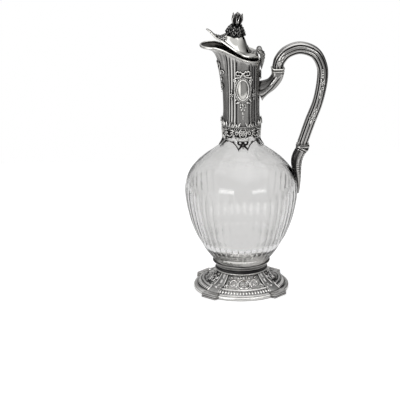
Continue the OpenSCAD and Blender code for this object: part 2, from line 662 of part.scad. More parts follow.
// Leafy base of the finial: eight leaves that spread over the crown
module finial_calyx() {
    // share of the height, share of the radius, depth of the notches between leaves
    rows = [[1, 0.34, 0], [0.92, 0.48, 0.2], [0.76, 0.66, 0.6], [0.54, 0.82, 1],
            [0.3, 0.93, 1.4], [0.1, 1, 1.6]];
    function leaf_r(a, r, notch) = r - notch * (0.5 - 0.5 * cos(8 * a));
    function leaf_z(x, y, z) = max(lid_height(x, y) + seat_gap + 0.8, crown_z + z);
    color(DARK) lid_pose() skin(concat(
        [for (p = rows) [for (a = lid_angles)
            let (q = lid_xy(a, leaf_r(a, calyx_r * p[1], p[2])))
            [q[0], q[1], leaf_z(q[0], q[1], calyx_h * p[0])]]],
        [for (k = [0.97, 0.85, 0.74, 0.62, 0.5, 0.36]) [for (a = lid_angles)
            let (q = lid_xy(a, leaf_r(a, calyx_r * k, k > 0.9 ? 1.6 : 0)))
            [q[0], q[1], lid_height(q[0], q[1]) + seat_gap + 0.2]]]));
}
// Closed bud with six petals
module finial_bud() {
    n = 36;
    rows = [[0, 2.2, 0], [1.2, 3.6, 0], [3, bud_r - 0.8, 0.3], [5.6, bud_r, 0.8], [8.4, bud_r - 0.3, 0.9],
            [10.6, bud_r - 1.4, 0.8], [12.4, bud_r - 2.9, 0.6], [bud_h - 0.4, 1.6, 0.2], [bud_h, 0.5, 0]];
    color(SILVER) lid_pose() translate([-crown_x, 0, crown_z + calyx_h + solder_gap])
        skin([for (i = [len(rows) - 1 : -1 : 0])
            [for (j = [0 : n - 1])
                let (p = rows[i], a = -360 * j / n, r = p[1] - p[2] * (0.5 - 0.5 * cos(6 * a)))
                [r * cos(a), r * sin(a), p[0]]]]);
}

// ---------------------------------------------------------------- handle

// A section of the handle: a soft rectangle with two grooves along each side
function handle_section(d, w, groove) =
    let (g = groove, x = d / 2, y = w / 2)
    [[x, 0], [x - 0.3, y * 0.45], [x - 1.4, y * 0.84], [x * 0.62, y], [x * 0.4, y - g], [x * 0.18, y],
     [-x * 0.18, y], [-x * 0.4, y - g], [-x * 0.62, y], [-x + 1.4, y * 0.84], [-x + 0.3, y * 0.45],
     [-x, 0], [-x + 0.3, -y * 0.45], [-x + 1.4, -y * 0.84], [-x * 0.62, -y], [-x * 0.4, -y + g],
     [-x * 0.18, -y], [x * 0.18, -y], [x * 0.4, -y + g], [x * 0.62, -y], [x - 1.4, -y * 0.84],
     [x - 0.3, -y * 0.45]];
// A tube along stations [s, x, z, depth, width]; its ends stand square to its line
function along(path, s) =
    let (e = 0.002, a = max(path[0][0], s - e), b = min(path[len(path) - 1][0], s + e),
         dx = through(path, b, 1) - through(path, a, 1), dz = through(path, b, 2) - through(path, a, 2),
         l = norm([dx, dz]), section = handle_section(through(path, s, 3), through(path, s, 4), groove_d))
    [for (p = section) [through(path, s, 1) + p[0] * dz / l, p[1], through(path, s, 2) - p[0] * dx / l]];
function swept(path, rings) =
    let (first = path[0][0], last = path[len(path) - 1][0])
    [for (i = [0 : rings]) along(path, lerp(first, last, i / rings))];
module tube(path, rings) {
    skin(swept(path, rings));
}
// A point pushed out of the glass, where it would lie inside
function off_glass(p) =
    let (r = norm([p[0], p[1]]), g = glass_r(p[2]) + seat_gap)
    r < g ? [p[0] * g / r, p[1] * g / r, p[2]] : p;

arch_foot_z = knuckle_z + 2.2;
side_z = handle_top_z - 32;
// A station of the handle's straight run: share of the way down, bow inward, depth, width
function run_station(s, t, bow, d, w) =
    [s, lerp(handle_reach, knuckle_x, bow), lerp(side_z, arch_foot_z, t), handle_d - d, handle_w - w];
arch_path = [
    [0, collar_x, collar_z + collar_h + solder_gap, handle_d - 0.8, handle_w],
    [0.12, collar_x, collar_z + collar_h + 1.2, handle_d - 0.8, handle_w],
    [1, collar_x + 2.2, handle_top_z - 11.6, handle_d - 0.4, handle_w],
    [2, collar_x + 9.4, handle_top_z - 3.8, handle_d, handle_w],
    [3, (collar_x + handle_reach) / 2, handle_top_z, handle_d + 0.4, handle_w],
    [4, handle_reach - 8.2, handle_top_z - 5.2, handle_d, handle_w],
    [5, handle_reach - 1, handle_top_z - 17.6, handle_d - 0.6, handle_w],
    run_station(6, 0, 0, 0.8, 0.4),
    run_station(7, 0.35, 0.22, 1.4, 1),
    run_station(8, 0.66, 0.62, 1.2, 1.2),
    run_station(9, 0.94, 0.95, 1.4, 1.4),
    run_station(9.24, 0.98, 1, 1.4, 1.4),
    run_station(9.4, 1, 1, 1.4, 1.4)
];
module handle_arch() {
    color(SILVER) tube(arch_path, 36);
}
// Branch from the neck that carries the handle
module handle_socket() {
    // share of the way out to the collar, drop below it, depth, width
    stations = [[-0.1, 19.2, 23, 11], [0.19, 17, 16, 11.6], [0.63, 12.8, 12.2, 12],
                [0.92, 6.6, 11.6, 12.4], [1, 1.4, 12.2, 12.8], [1, solder_gap, 12.4, 12.8]];
    path = [for (i = [0 : len(stations) - 1])
        let (p = stations[i]) [i, lerp(casing_r, collar_x, p[0]), collar_z - p[1], p[2], p[3]]];
    color(SILVER) difference() {
        tube(path, 14);
        translate([0, 0, casing_z]) linear_extrude(90)
            polygon([for (a = [0 : 6 : 354]) (casing_r + reed_h + solder_gap) / cos(3) * [cos(a), sin(a)]]);
    }
}
// Double plate between the branch and the handle
module handle_collar() {
    plate_h = 1.6;
    color(BRIGHT) translate([collar_x, 0, collar_z]) {
        for (p = [[0, 1], [collar_h - plate_h, 0]])
            translate([0, 0, p[0]]) linear_extrude(plate_h) offset(r = 1.6, $fn = 24)
                square([handle_d - 0.6 - p[1], handle_w - 0.4 - p[1]], center = true);
        linear_extrude(collar_h) square([handle_d - 1.4, handle_w - 1.6], center = true);
    }
}
// Stepped knuckle where the handle turns in toward the glass
module handle_knuckle() {
    path = [[0, knuckle_x, arch_foot_z - solder_gap, handle_d + 1, handle_w + 0.4],
            [1, knuckle_x, knuckle_z - 1.4, handle_d + 1.6, handle_w + 0.8],
            [2, knuckle_x - 1.6, knuckle_z - 4.6, handle_d - 0.4, handle_w]];
    color(SILVER) tube(path, 4);
}
// Leaf that ends the handle and hugs the glass
module handle_leaf() {
    // share of the way down, offset from the glass, depth, width
    tip_d = handle_d * 0.207;
    tail = [[0.3, leaf_bow, handle_d - 1, handle_w + 0.8], [0.56, leaf_bow * 0.253, handle_d * 0.655, handle_w],
            [0.79, 0.8, handle_d * 0.397, handle_w * 0.677], [1, 0.9, tip_d, tip_d]];
    z0 = knuckle_z - 4.6 - 1.3 * solder_gap;
    path = concat(
        [[0, knuckle_x - 1.6, z0, handle_d - 1, handle_w - 0.4],
         [1, knuckle_x - 4.7, z0 - 6.2, handle_d - 0.6, handle_w]],
        [for (i = [0 : len(tail) - 1])
            let (p = tail[i], z = lerp(z0, leaf_tip_z, p[0])) [i + 2, glass_r(z) + p[1], z, p[2], p[3]]]);
    color(DARK) skin([for (ring = swept(path, 14)) [for (p = ring) off_glass(p)]]);
}

// ---------------------------------------------------------------- all pieces

foot_shell();
glass_cup();
cup_plaster();
gallery_ring();
glass_body();
neck_plaster();
throat_liner();
neck_casing();
mouth_wire();
garland_skirt();
ribbon_bows();
side_cartouches();
back_palmette();
hinge_bracket();
hinge_pin();
hinge_strap();
lid_shell();
beak_leaf();
finial_calyx();
finial_bud();
handle_socket();
handle_collar();
handle_arch();
handle_knuckle();
handle_leaf();
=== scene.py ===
import bpy
import numpy as np
from math import pi, sin, cos, asin, radians, hypot
from mathutils import Vector, Matrix


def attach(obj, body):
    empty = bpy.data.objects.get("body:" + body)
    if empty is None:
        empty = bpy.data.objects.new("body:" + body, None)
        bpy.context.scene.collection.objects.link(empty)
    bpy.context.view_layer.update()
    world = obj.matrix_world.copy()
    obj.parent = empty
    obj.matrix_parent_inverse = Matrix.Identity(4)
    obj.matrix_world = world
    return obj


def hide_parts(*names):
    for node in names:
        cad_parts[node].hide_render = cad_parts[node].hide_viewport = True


# Claret jug. Sizes below are millimetres, as in the drawing, and are turned into metres as a piece is placed.
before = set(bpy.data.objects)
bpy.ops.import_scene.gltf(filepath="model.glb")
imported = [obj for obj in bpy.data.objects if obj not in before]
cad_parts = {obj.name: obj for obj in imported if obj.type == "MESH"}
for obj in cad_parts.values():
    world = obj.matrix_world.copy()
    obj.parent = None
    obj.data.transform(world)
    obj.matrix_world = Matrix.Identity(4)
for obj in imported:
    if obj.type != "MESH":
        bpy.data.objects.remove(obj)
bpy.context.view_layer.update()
mm = 0.001
mergeGap = 0.002 * mm      # points closer than this are one


# Picking and editing pieces.

def letGo():
    if bpy.context.object and bpy.context.object.mode != "OBJECT":
        bpy.ops.object.mode_set(mode="OBJECT")
    bpy.ops.object.select_all(action="DESELECT")


def pick(piece):
    letGo()
    piece.select_set(True)
    bpy.context.view_layer.objects.active = piece


def editAll(piece):
    pick(piece)
    bpy.ops.object.mode_set(mode="EDIT")
    bpy.ops.mesh.select_all(action="SELECT")


def leaveEdit():
    bpy.ops.object.mode_set(mode="OBJECT")


def readPoints(piece):
    flat = np.empty(len(piece.data.vertices) * 3)
    piece.data.vertices.foreach_get("co", flat)
    return flat.reshape(-1, 3)


def writePoints(piece, x, y, z):
    piece.data.vertices.foreach_set("co", (np.stack([x, y, z], 1) * mm).ravel())
    piece.data.update()


def readFaces(piece, kind):
    # kind is "normal" or "center"
    flat = np.empty(len(piece.data.polygons) * 3)
    piece.data.polygons.foreach_get(kind, flat)
    return flat.reshape(-1, 3)


def markPatinaAndShade(piece, patinaAndShade):
    # how dark each point is, 0 to 1, read by the silver materials: patina deep in recesses, with painted
    # shade added in places
    layer = piece.data.attributes.new("patinaAndShade", "FLOAT", "POINT")
    layer.data.foreach_set("value", np.clip(patinaAndShade, 0, 1).astype(np.float32))


def markEvenly(piece, patinaAndShade):
    markPatinaAndShade(piece, np.full(len(piece.data.vertices), patinaAndShade))


def weld(piece):
    editAll(piece)
    bpy.ops.mesh.remove_doubles(threshold=mergeGap)
    leaveEdit()


def weldAndFace(piece):
    # for a closed piece: doubles are merged, and all faces point outwards
    editAll(piece)
    bpy.ops.mesh.remove_doubles(threshold=mergeGap)
    bpy.ops.mesh.delete_loose()
    bpy.ops.mesh.select_all(action="SELECT")
    bpy.ops.mesh.normals_make_consistent(inside=False)
    leaveEdit()


def flipFaces(piece):
    editAll(piece)
    bpy.ops.mesh.flip_normals()
    leaveEdit()


def faceOut(piece):
    # an open sheet is turned so that its faces look away from the jug's axis
    if (readFaces(piece, "normal")[:, :2] * readFaces(piece, "center")[:, :2]).sum() < 0:
        flipFaces(piece)


def applyAll(piece):
    pick(piece)
    for modifier in list(piece.modifiers):
        bpy.ops.object.modifier_apply(modifier=modifier.name)


def solidWall(piece, wall):
    # the wall goes in from the side that the faces look to
    thick = piece.modifiers.new("wall", "SOLIDIFY")
    thick.thickness = wall * mm
    thick.offset = -1
    thick.use_even_offset = False
    applyAll(piece)


def softEdge(piece, width, steps, angle):
    bevel = piece.modifiers.new("edge", "BEVEL")
    bevel.width = width * mm
    bevel.segments = steps
    bevel.limit_method = "ANGLE"
    bevel.angle_limit = radians(angle)
    applyAll(piece)


def smoothShade(piece, angle):
    pick(piece)
    bpy.ops.object.shade_smooth_by_angle(angle=radians(angle))


def joinAs(pieces, name):
    letGo()
    for piece in pieces:
        piece.select_set(True)
    bpy.context.view_layer.objects.active = pieces[0]
    if len(pieces) > 1:
        bpy.ops.object.join()
    pieces[0].name = name
    return pieces[0]


def wrapGrid(name, across, up, place):
    # a flat grid whose points are laid on a surface: place(u, v) gives x, y, z for shares 0 to 1
    letGo()
    bpy.ops.mesh.primitive_grid_add(x_subdivisions=across, y_subdivisions=up, size=1)
    piece = bpy.context.object
    piece.name = name
    flat = readPoints(piece)
    writePoints(piece, *place(np.round(flat[:, 0] + 0.5, 6), np.round(flat[:, 1] + 0.5, 6)))
    return piece


def turnProfile(name, profile, steps=192):
    # a ring of points in the XZ plane, spun about the jug's axis
    letGo()
    bpy.ops.mesh.primitive_circle_add(vertices=len(profile), radius=0.01)
    piece = bpy.context.object
    piece.name = name
    outline = np.array(profile, float)
    writePoints(piece, outline[:, 0], outline[:, 0] * 0, outline[:, 1])
    editAll(piece)
    bpy.ops.mesh.spin(steps=steps, angle=2 * pi, center=(0, 0, 0), axis=(0, 0, 1))
    leaveEdit()
    weldAndFace(piece)
    return piece


# Curves. Each takes single values and arrays alike.

def lerp(a, b, t):
    return a + (b - a) * t


def unit(t):
    return np.clip(t, 0, 1)


def ease(t):
    u = unit(t)
    return u * u * (3 - 2 * u)


def bump(x, middle, width):
    return np.exp(-((x - middle) / width) ** 2)


def dome(q):
    # the upper half of a round section, q from -1 to 1
    return np.sqrt(np.maximum(0, 1 - q * q))


def squared(turn, power):
    # a point of a rounded square, from -1 to 1 each way
    c, s = np.cos(turn), np.sin(turn)
    return np.sign(c) * np.abs(c) ** power, np.sign(s) * np.abs(s) ** power


def through(stations, x, k=1):
    # smooth curve through rows of (place, value, value...)
    s = np.array([[row[0], row[k]] for row in stations], float)
    n = len(s)
    before, after = np.maximum(np.arange(n) - 1, 0), np.minimum(np.arange(n) + 1, n - 1)
    slope = (s[after, 1] - s[before, 1]) / (s[after, 0] - s[before, 0])
    i = np.clip(np.searchsorted(s[:, 0], x, side="right") - 1, 0, n - 2)
    h = s[i + 1, 0] - s[i, 0]
    t = (x - s[i, 0]) / h
    return ((1 + 2 * t) * (1 - t) ** 2 * s[i, 1] + t * (1 - t) ** 2 * h * slope[i]
            + t * t * (3 - 2 * t) * s[i + 1, 1] + t * t * (t - 1) * h * slope[i + 1])


def alongLine(line, s, step=0.01):
    # direction of a bent line of (place, x, z, ...) at s, of length 1
    low, high = np.maximum(s - step, 0), np.minimum(s + step, line[-1][0])
    dx, dz = through(line, high, 1) - through(line, low, 1), through(line, high, 2) - through(line, low, 2)
    size = np.hypot(dx, dz)
    return dx / size, dz / size


# Chased relief is drawn as round strokes (x, y, radius) and read back as a height.

def stroke(*points, lift=1.0):
    return (np.array(points, float), lift)


def dot(x, y, r, lift=1.0):
    return stroke((x, y, r), (x + 0.001, y, r), lift=lift)


def drop(x, y, angle, length, r, lift=1.0):
    # a small pointed leaf
    dx, dy = cos(radians(angle)) * length, sin(radians(angle)) * length
    return stroke((x, y, r * 0.35), (x + dx * 0.3, y + dy * 0.3, r), (x + dx * 0.6, y + dy * 0.6, r * 0.8),
                  (x + dx, y + dy, r * 0.12), lift=lift)


def curl(x, y, r0, r1, start, turn, w0, w1, lift=1.0):
    # a scroll that winds from radius r0 to r1
    steps = max(6, int(abs(turn) / 24))
    return stroke(*[(x + lerp(r0, r1, i / steps) * cos(radians(start + turn * i / steps)),
                     y + lerp(r0, r1, i / steps) * sin(radians(start + turn * i / steps)),
                     lerp(w0, w1, i / steps)) for i in range(steps + 1)], lift=lift)


def hoop(x, y, a, b, r, lift=1.0):
    turns = [2 * pi * i / 28 for i in range(29)]
    return stroke(*[(x + a * cos(turn), y + b * sin(turn), r) for turn in turns], lift=lift)


def rosette(x, y, petals, outer, r, turn=0, lift=1.0):
    parts = [dot(x, y, r * 0.9, lift)]
    for i in range(petals):
        a = radians(turn + 360 * i / petals)
        near, tip = r * 1.1, outer - r * 0.9
        parts.append(stroke((x + cos(a) * near, y + sin(a) * near, r * 0.4),
                            (x + cos(a) * tip, y + sin(a) * tip, r), lift=lift * 0.85))
    return parts


def mirrored(strokes):
    return list(strokes) + [(points * [-1, 1, 1], lift) for points, lift in strokes]


def relief(s, t, strokes):
    # height of the tallest round stroke over each point, and -1 where there is none
    height = np.full(len(s), -1.0)
    for points, lift in strokes:
        reach = points[:, 2].max()
        low, high = points[:, :2].min(0) - reach, points[:, :2].max(0) + reach
        near = np.nonzero((s > low[0]) & (s < high[0]) & (t > low[1]) & (t < high[1]))[0]
        if not len(near):
            continue
        x, y = s[near], t[near]
        best = np.full(len(near), -1.0)
        for a, b in zip(points[:-1], points[1:]):
            along = b[:2] - a[:2]
            share = unit(((x - a[0]) * along[0] + (y - a[1]) * along[1]) / max(along @ along, 1e-9))
            q = np.hypot(x - a[0] - along[0] * share, y - a[1] - along[1] * share) / lerp(a[2], b[2], share)
            best = np.maximum(best, np.where(q < 1, np.sqrt(np.maximum(0, 1 - q * q)), -1))
        height[near] = np.maximum(height[near], np.where(best >= 0, best * lift, -1))
    return height


def recessUnder(raised):
    # strokes are polished on top and dark at their feet
    return 1 - unit(raised * 1.25)


def cutSheet(name, sEnds, tEnds, strokes, cell, web=None):
    # a flat grid cut to the strokes, and to the web between them; with each point's s, t and height
    (s0, s1), (t0, t1) = sEnds, tEnds
    across, up = int((s1 - s0) / cell), int((t1 - t0) / cell)
    piece = wrapGrid(name, across, up, lambda u, v: (lerp(s0, s1, u), lerp(t0, t1, v), u * 0))
    flat = readPoints(piece) / mm
    s, t = flat[:, 0], flat[:, 1]
    height = relief(s, t, strokes)
    keep = height >= 0
    if web is not None:
        keep = keep | web(s, t)
    pick(piece)
    bpy.ops.object.mode_set(mode="EDIT")
    bpy.ops.mesh.select_mode(type="VERT")
    bpy.ops.mesh.select_all(action="DESELECT")
    leaveEdit()
    piece.data.vertices.foreach_set("select", ~keep)
    bpy.ops.object.mode_set(mode="EDIT")
    bpy.ops.mesh.delete(type="VERT")
    leaveEdit()
    return piece, s[keep], t[keep], np.maximum(height[keep], 0)


def castOrnament(name, sEnds, tEnds, strokes, place, rise=0.9, wall=0.7, cell=0.2, web=None, paintedShade=None):
    # a pierced casting: strokes stand up from the surface, and what no stroke covers is cut away
    piece, s, t, raised = cutSheet(name, sEnds, tEnds, strokes, cell, web)
    writePoints(piece, *place(s, t, raised * rise))
    # an optional painted shade is added to the patina
    markPatinaAndShade(piece, recessUnder(raised) + (0 if paintedShade is None else paintedShade(s, t)))
    faceOut(piece)
    solidWall(piece, wall)
    weldAndFace(piece)
    smoothShade(piece, 60)
    return piece


# Node trees.

def wire(tree, a, b):
    tree.links.new(a, b)


def addNode(tree, kind, **values):
    node = tree.nodes.new(kind)
    for key, value in values.items():
        setattr(node, key, value)
    return node


def setInputs(node, values):
    for key, value in values.items():
        node.inputs[key].default_value = value


def maths(tree, kind, a, b=0.0, clamp=False):
    node = addNode(tree, "ShaderNodeMath", operation=kind, use_clamp=clamp)
    for socket, value in zip(node.inputs, (a, b)):
        if isinstance(value, (int, float)):
            socket.default_value = value
        else:
            wire(tree, value, socket)
    return node.outputs[0]


def addNoise(tree, scale, detail=2.0, rough=0.5):
    coords = addNode(tree, "ShaderNodeTexCoord")
    node = addNode(tree, "ShaderNodeTexNoise")
    setInputs(node, {"Scale": scale, "Detail": detail, "Roughness": rough})
    wire(tree, coords.outputs["Object"], node.inputs["Vector"])
    return node.outputs[0]


def addDent(tree, shader, height, strength, depth):
    node = addNode(tree, "ShaderNodeBump")
    setInputs(node, {"Strength": strength, "Distance": depth})
    wire(tree, height, node.inputs["Height"])
    wire(tree, node.outputs[0], shader.inputs["Normal"])


def addTones(tree, shader, mask, a, b):
    node = addNode(tree, "ShaderNodeMix", data_type="RGBA")
    setInputs(node, {"A": (*a, 1), "B": (*b, 1)})
    wire(tree, mask, node.inputs["Factor"])
    wire(tree, node.outputs["Result"], shader.inputs["Base Color"])
    return node.outputs["Result"]


def newMaterial(name, values):
    material = bpy.data.materials.new(name)
    material.use_nodes = True
    tree = material.node_tree
    shader = tree.nodes["Principled BSDF"]
    setInputs(shader, values)
    return material, tree, shader


# Camera, room and lamps, in metres.

cameraView = dict(place=(-0.26590, -3.03930, 1.11174), back=(-0.08265, -0.94472, 0.31730), lens=288,
                  shift=-0.10325)


def setCamera():
    letGo()
    bpy.ops.object.camera_add(location=cameraView["place"])
    camera = bpy.context.object
    camera.name = "photoView"
    back = Vector(cameraView["back"]).normalized()
    right = Vector((0, 0, 1)).cross(back).normalized()
    turn = Matrix((right, back.cross(right), back)).transposed().to_4x4()
    camera.matrix_world = Matrix.Translation(cameraView["place"]) @ turn
    camera.data.lens = cameraView["lens"]
    camera.data.sensor_width = 36
    camera.data.shift_x = cameraView["shift"]
    camera.data.clip_end = 30
    bpy.context.scene.camera = camera


# A panel is a soft-edged light, or a dark cloth, that a reflection meets: its direction, the cosines at which
# it starts and is full, and its brightness.
room = dict(diffuse=0.6, side=0.11, overhead=0.7, rise=(0.05, 0.6), most=1.3,
            throughGlass=(0.25, 0.8, 0.86, 0.45),
            panels=[((-0.78, -0.58, -0.22), 0.80, 0.95, 1.05),
                    ((0.25, -0.92, -0.3), 0.75, 0.98, 0.2),
                    ((0.0, 0.97, -0.1), 0.86, 0.97, 0.35),
                    ((0.65, 0.61, 0.45), 0.86, 0.98, -0.3),
                    ((0.05, 0.25, 0.97), 0.95, 0.99, -0.35),
                    ((0.08, -0.2, 0.98), 0.93, 0.99, 0.85),
                    ((-1.0, 0.1, 0.0), 0.8, 0.97, 0.1),
                    ((0.95, 0.02, -0.3), 0.965, 0.99, 0.32)])
paper = dict(size=0.84, tone=0.86, glow=0.38, glowThroughGlass=0.12)
lamps = [dict(name="keyLamp", place=(-1.3, -1.7, 0.85), aim=(0, 0, 0.13), size=(1.3, 0.5), watts=8),
         dict(name="fillLamp", place=(1.2, -1.8, 0.85), aim=(0, 0, 0.13), size=(1.2, 0.45), watts=5.5),
         dict(name="topLamp", place=(0.1, 0.1, 2.1), aim=(0, 0, 0.1), size=(3.0, 2.6), watts=17)]


def setRoom():
    # camera and glass see a white room; metal sees a darker studio with panels
    world = bpy.data.worlds.new("studio")
    bpy.context.scene.world = world
    world.use_nodes = True
    tree = world.node_tree
    tree.nodes.clear()
    out = addNode(tree, "ShaderNodeOutputWorld")
    coords = addNode(tree, "ShaderNodeTexCoord")
    split = addNode(tree, "ShaderNodeSeparateXYZ")
    wire(tree, coords.outputs["Generated"], split.inputs[0])
    path = addNode(tree, "ShaderNodeLightPath")
    seenBy = {kind: path.outputs[f"Is {kind} Ray"] for kind in ("Camera", "Glossy", "Transmission")}

    def ramp(source, low, high, a, b):
        node = addNode(tree, "ShaderNodeMapRange", interpolation_type="SMOOTHSTEP")
        wire(tree, source, node.inputs["Value"])
        setInputs(node, {"From Min": low, "From Max": high, "To Min": a, "To Max": b})
        return node.outputs[0]

    def panel(direction, low, high, level):
        node = addNode(tree, "ShaderNodeVectorMath", operation="DOT_PRODUCT")
        wire(tree, coords.outputs["Generated"], node.inputs[0])
        node.inputs[1].default_value = Vector(direction).normalized()
        return ramp(node.outputs["Value"], low, high, 0.0, level)

    studio = ramp(split.outputs["Z"], *room["rise"], room["side"], room["overhead"])
    for direction, low, high, level in room["panels"]:
        studio = maths(tree, "ADD", studio, panel(direction, low, high, level))
    studio = maths(tree, "MINIMUM", studio, room["most"])
    backdrop = maths(tree, "MULTIPLY", seenBy["Transmission"],
                     ramp(split.outputs["Z"], *room["throughGlass"]))
    backdrop = maths(tree, "MAXIMUM", backdrop, seenBy["Camera"])
    reflected = maths(tree, "MULTIPLY", seenBy["Glossy"],
                      maths(tree, "SUBTRACT", 1.0, seenBy["Transmission"]))
    level = maths(tree, "ADD", maths(tree, "MULTIPLY", reflected, studio), backdrop)
    seen = maths(tree, "MAXIMUM", seenBy["Transmission"], seenBy["Camera"])
    seen = maths(tree, "MAXIMUM", seenBy["Glossy"], seen)
    lightOnly = maths(tree, "MULTIPLY", maths(tree, "SUBTRACT", 1.0, seen), room["diffuse"])
    plain = addNode(tree, "ShaderNodeBackground")
    plain.inputs["Color"].default_value = (1, 1, 1, 1)
    wire(tree, maths(tree, "ADD", level, lightOnly), plain.inputs["Strength"])
    wire(tree, plain.outputs[0], out.inputs["Surface"])


def setFloor():
    letGo()
    bpy.ops.mesh.primitive_plane_add(size=paper["size"], location=(0, 0, 0))
    floor = bpy.context.object
    floor.name = "floor"
    tone = (paper["tone"],) * 3 + (1,)
    material, tree, shader = newMaterial("palePaper", {
        "Base Color": tone, "Roughness": 0.9, "Specular IOR Level": 0.1, "Emission Color": (1, 1, 1, 1)})
    path = addNode(tree, "ShaderNodeLightPath")
    glow = maths(tree, "MULTIPLY", path.outputs["Is Camera Ray"], paper["glow"])
    glass = maths(tree, "MULTIPLY", path.outputs["Is Transmission Ray"], paper["glowThroughGlass"])
    wire(tree, maths(tree, "ADD", glow, glass), shader.inputs["Emission Strength"])
    floor.data.materials.append(material)


def addLamp(name, place, aim, size, watts):
    letGo()
    bpy.ops.object.light_add(type="AREA", location=place)
    lamp = bpy.context.object
    lamp.name = name
    lamp.data.shape = "RECTANGLE"
    lamp.data.size, lamp.data.size_y = size
    lamp.data.energy = watts
    lamp.rotation_euler = (Vector(aim) - Vector(place)).to_track_quat("-Z", "Y").to_euler()


bpy.context.scene.view_settings.view_transform = "Standard"
setCamera()
setRoom()
setFloor()
for lamp in lamps:
    addLamp(**lamp)
print("camera, room and lamps are set")


# Materials.

def newGroup(name, inputs, outputs):
    group = bpy.data.node_groups.new(name, "ShaderNodeTree")
    for label, kind, value in inputs:
        socket = group.interface.new_socket(name=label, in_out="INPUT", socket_type=kind)
        socket.default_value = value
    for label, kind in outputs:
        group.interface.new_socket(name=label, in_out="OUTPUT", socket_type=kind)
    return group, group.nodes.new("NodeGroupInput"), group.nodes.new("NodeGroupOutput")


wearAndShade = dict(cloudSize=55, cloudFrom=0.46, grainSize=1400, edge=5.0, hidden=1.5, patinaAndShade=0.95, grainRough=0.1,
            grainHeight=0.12, cloudHeight=0.9)


def buildTarnishAndShade():
    # tarnish in recesses together with painted shade, wear on raised edges, cloudy patches and fine polishing
    # lines
    colour, number = "NodeSocketColor", "NodeSocketFloat"
    group, take, give = newGroup(
        "tarnishAndShade", [("Polished", colour, (0.8, 0.79, 0.76, 1)), ("TarnishAndShade", colour, (0.05, 0.05, 0.05, 1)),
                    ("Amount", number, 1.0), ("Cloud", number, 0.25), ("Reach", number, 0.0022),
                    ("Smooth", number, 0.16), ("Dull", number, 0.5)],
        [("Colour", colour), ("Roughness", number), ("Height", number)])
    shade = addNode(group, "ShaderNodeAmbientOcclusion", samples=8)
    wire(group, take.outputs["Reach"], shade.inputs["Distance"])
    patinaAndShade = addNode(group, "ShaderNodeAttribute", attribute_name="patinaAndShade")
    edge = addNode(group, "ShaderNodeNewGeometry")
    worn = maths(group, "MULTIPLY", maths(group, "SUBTRACT", edge.outputs["Pointiness"], 0.5), wearAndShade["edge"])
    cloud = addNoise(group, wearAndShade["cloudSize"], 5, 0.62)
    grain = addNoise(group, wearAndShade["grainSize"], 3)
    # ambient occlusion darkens the corners: partly patina in the hollows, partly painted shade
    hidden = maths(group, "POWER", maths(group, "SUBTRACT", 1.0, shade.outputs["AO"]), 0.9)
    hidden = maths(group, "MULTIPLY", hidden, wearAndShade["hidden"])
    patches = maths(group, "MULTIPLY", maths(group, "SUBTRACT", cloud, wearAndShade["cloudFrom"]),
                    maths(group, "MULTIPLY", take.outputs["Cloud"], 4.0))
    tarnishAndShadeAmount = maths(group, "ADD", hidden, maths(group, "MULTIPLY", patinaAndShade.outputs["Fac"], wearAndShade["patinaAndShade"]))
    tarnishAndShadeAmount = maths(group, "SUBTRACT", maths(group, "ADD", tarnishAndShadeAmount, patches), maths(group, "MAXIMUM", worn, 0.0))
    tarnishAndShadeAmount = maths(group, "MULTIPLY", tarnishAndShadeAmount, take.outputs["Amount"], clamp=True)
    mix = addNode(group, "ShaderNodeMix", data_type="RGBA")
    wire(group, tarnishAndShadeAmount, mix.inputs["Factor"])
    wire(group, take.outputs["Polished"], mix.inputs["A"])
    wire(group, take.outputs["TarnishAndShade"], mix.inputs["B"])
    wire(group, mix.outputs["Result"], give.inputs["Colour"])
    span = maths(group, "SUBTRACT", take.outputs["Dull"], take.outputs["Smooth"])
    rough = maths(group, "ADD", maths(group, "MULTIPLY", tarnishAndShadeAmount, span), take.outputs["Smooth"])
    scratched = maths(group, "MULTIPLY", maths(group, "SUBTRACT", grain, 0.5), wearAndShade["grainRough"])
    wire(group, maths(group, "ADD", rough, scratched), give.inputs["Roughness"])
    height = maths(group, "MULTIPLY", grain, wearAndShade["grainHeight"])
    height = maths(group, "ADD", height, maths(group, "MULTIPLY", cloud, wearAndShade["cloudHeight"]))
    wire(group, height, give.inputs["Height"])
    return group


tarnishAndShade = buildTarnishAndShade()


def silver(name, polished, tarnishAndShadeColour, amount, cloud, smooth, dull, depth=0.00035, reach=0.0022):
    # depth of the surface's waves and reach of the dark in its corners are metres
    material, tree, shader = newMaterial(name, {"Metallic": 1.0})
    use = addNode(tree, "ShaderNodeGroup", node_tree=tarnishAndShade)
    setInputs(use, {"Polished": (*polished, 1), "TarnishAndShade": (*tarnishAndShadeColour, 1), "Amount": amount,
                    "Cloud": cloud, "Smooth": smooth, "Dull": dull, "Reach": reach})
    wire(tree, use.outputs["Colour"], shader.inputs["Base Color"])
    wire(tree, use.outputs["Roughness"], shader.inputs["Roughness"])
    addDent(tree, shader, use.outputs["Height"], 0.35, depth)
    return material


antique = silver("antiqueSilver", (0.68, 0.67, 0.65), (0.028, 0.027, 0.028), 1.1, 0.2, 0.17, 0.5)
bright = silver("rubbedSilver", (0.86, 0.85, 0.81), (0.06, 0.057, 0.054), 1.0, 0.08, 0.11, 0.42, 0.0002)
# a darker copy of the silver: painted shade on the lid's leaves, the finial's calyx and the hinge bracket
shadowed = silver("shadedSilver", (0.60, 0.59, 0.57), (0.009, 0.009, 0.009), 1.9, 0.24, 0.2, 0.5, 0.0002)
chased = silver("chasedSilver", (0.93, 0.92, 0.89), (0.018, 0.017, 0.017), 1.15, 0.12, 0.27, 0.5, 0.0002)
drawnSilver = silver("drawnSilver", (0.60, 0.59, 0.575), (0.014, 0.013, 0.013), 1.2, 0.1, 0.13, 0.45, 0.00008)
footSilver = silver("footSilver", (0.86, 0.85, 0.83), (0.026, 0.025, 0.025), 1.05, 0.28, 0.15, 0.45,
                    reach=0.0009)
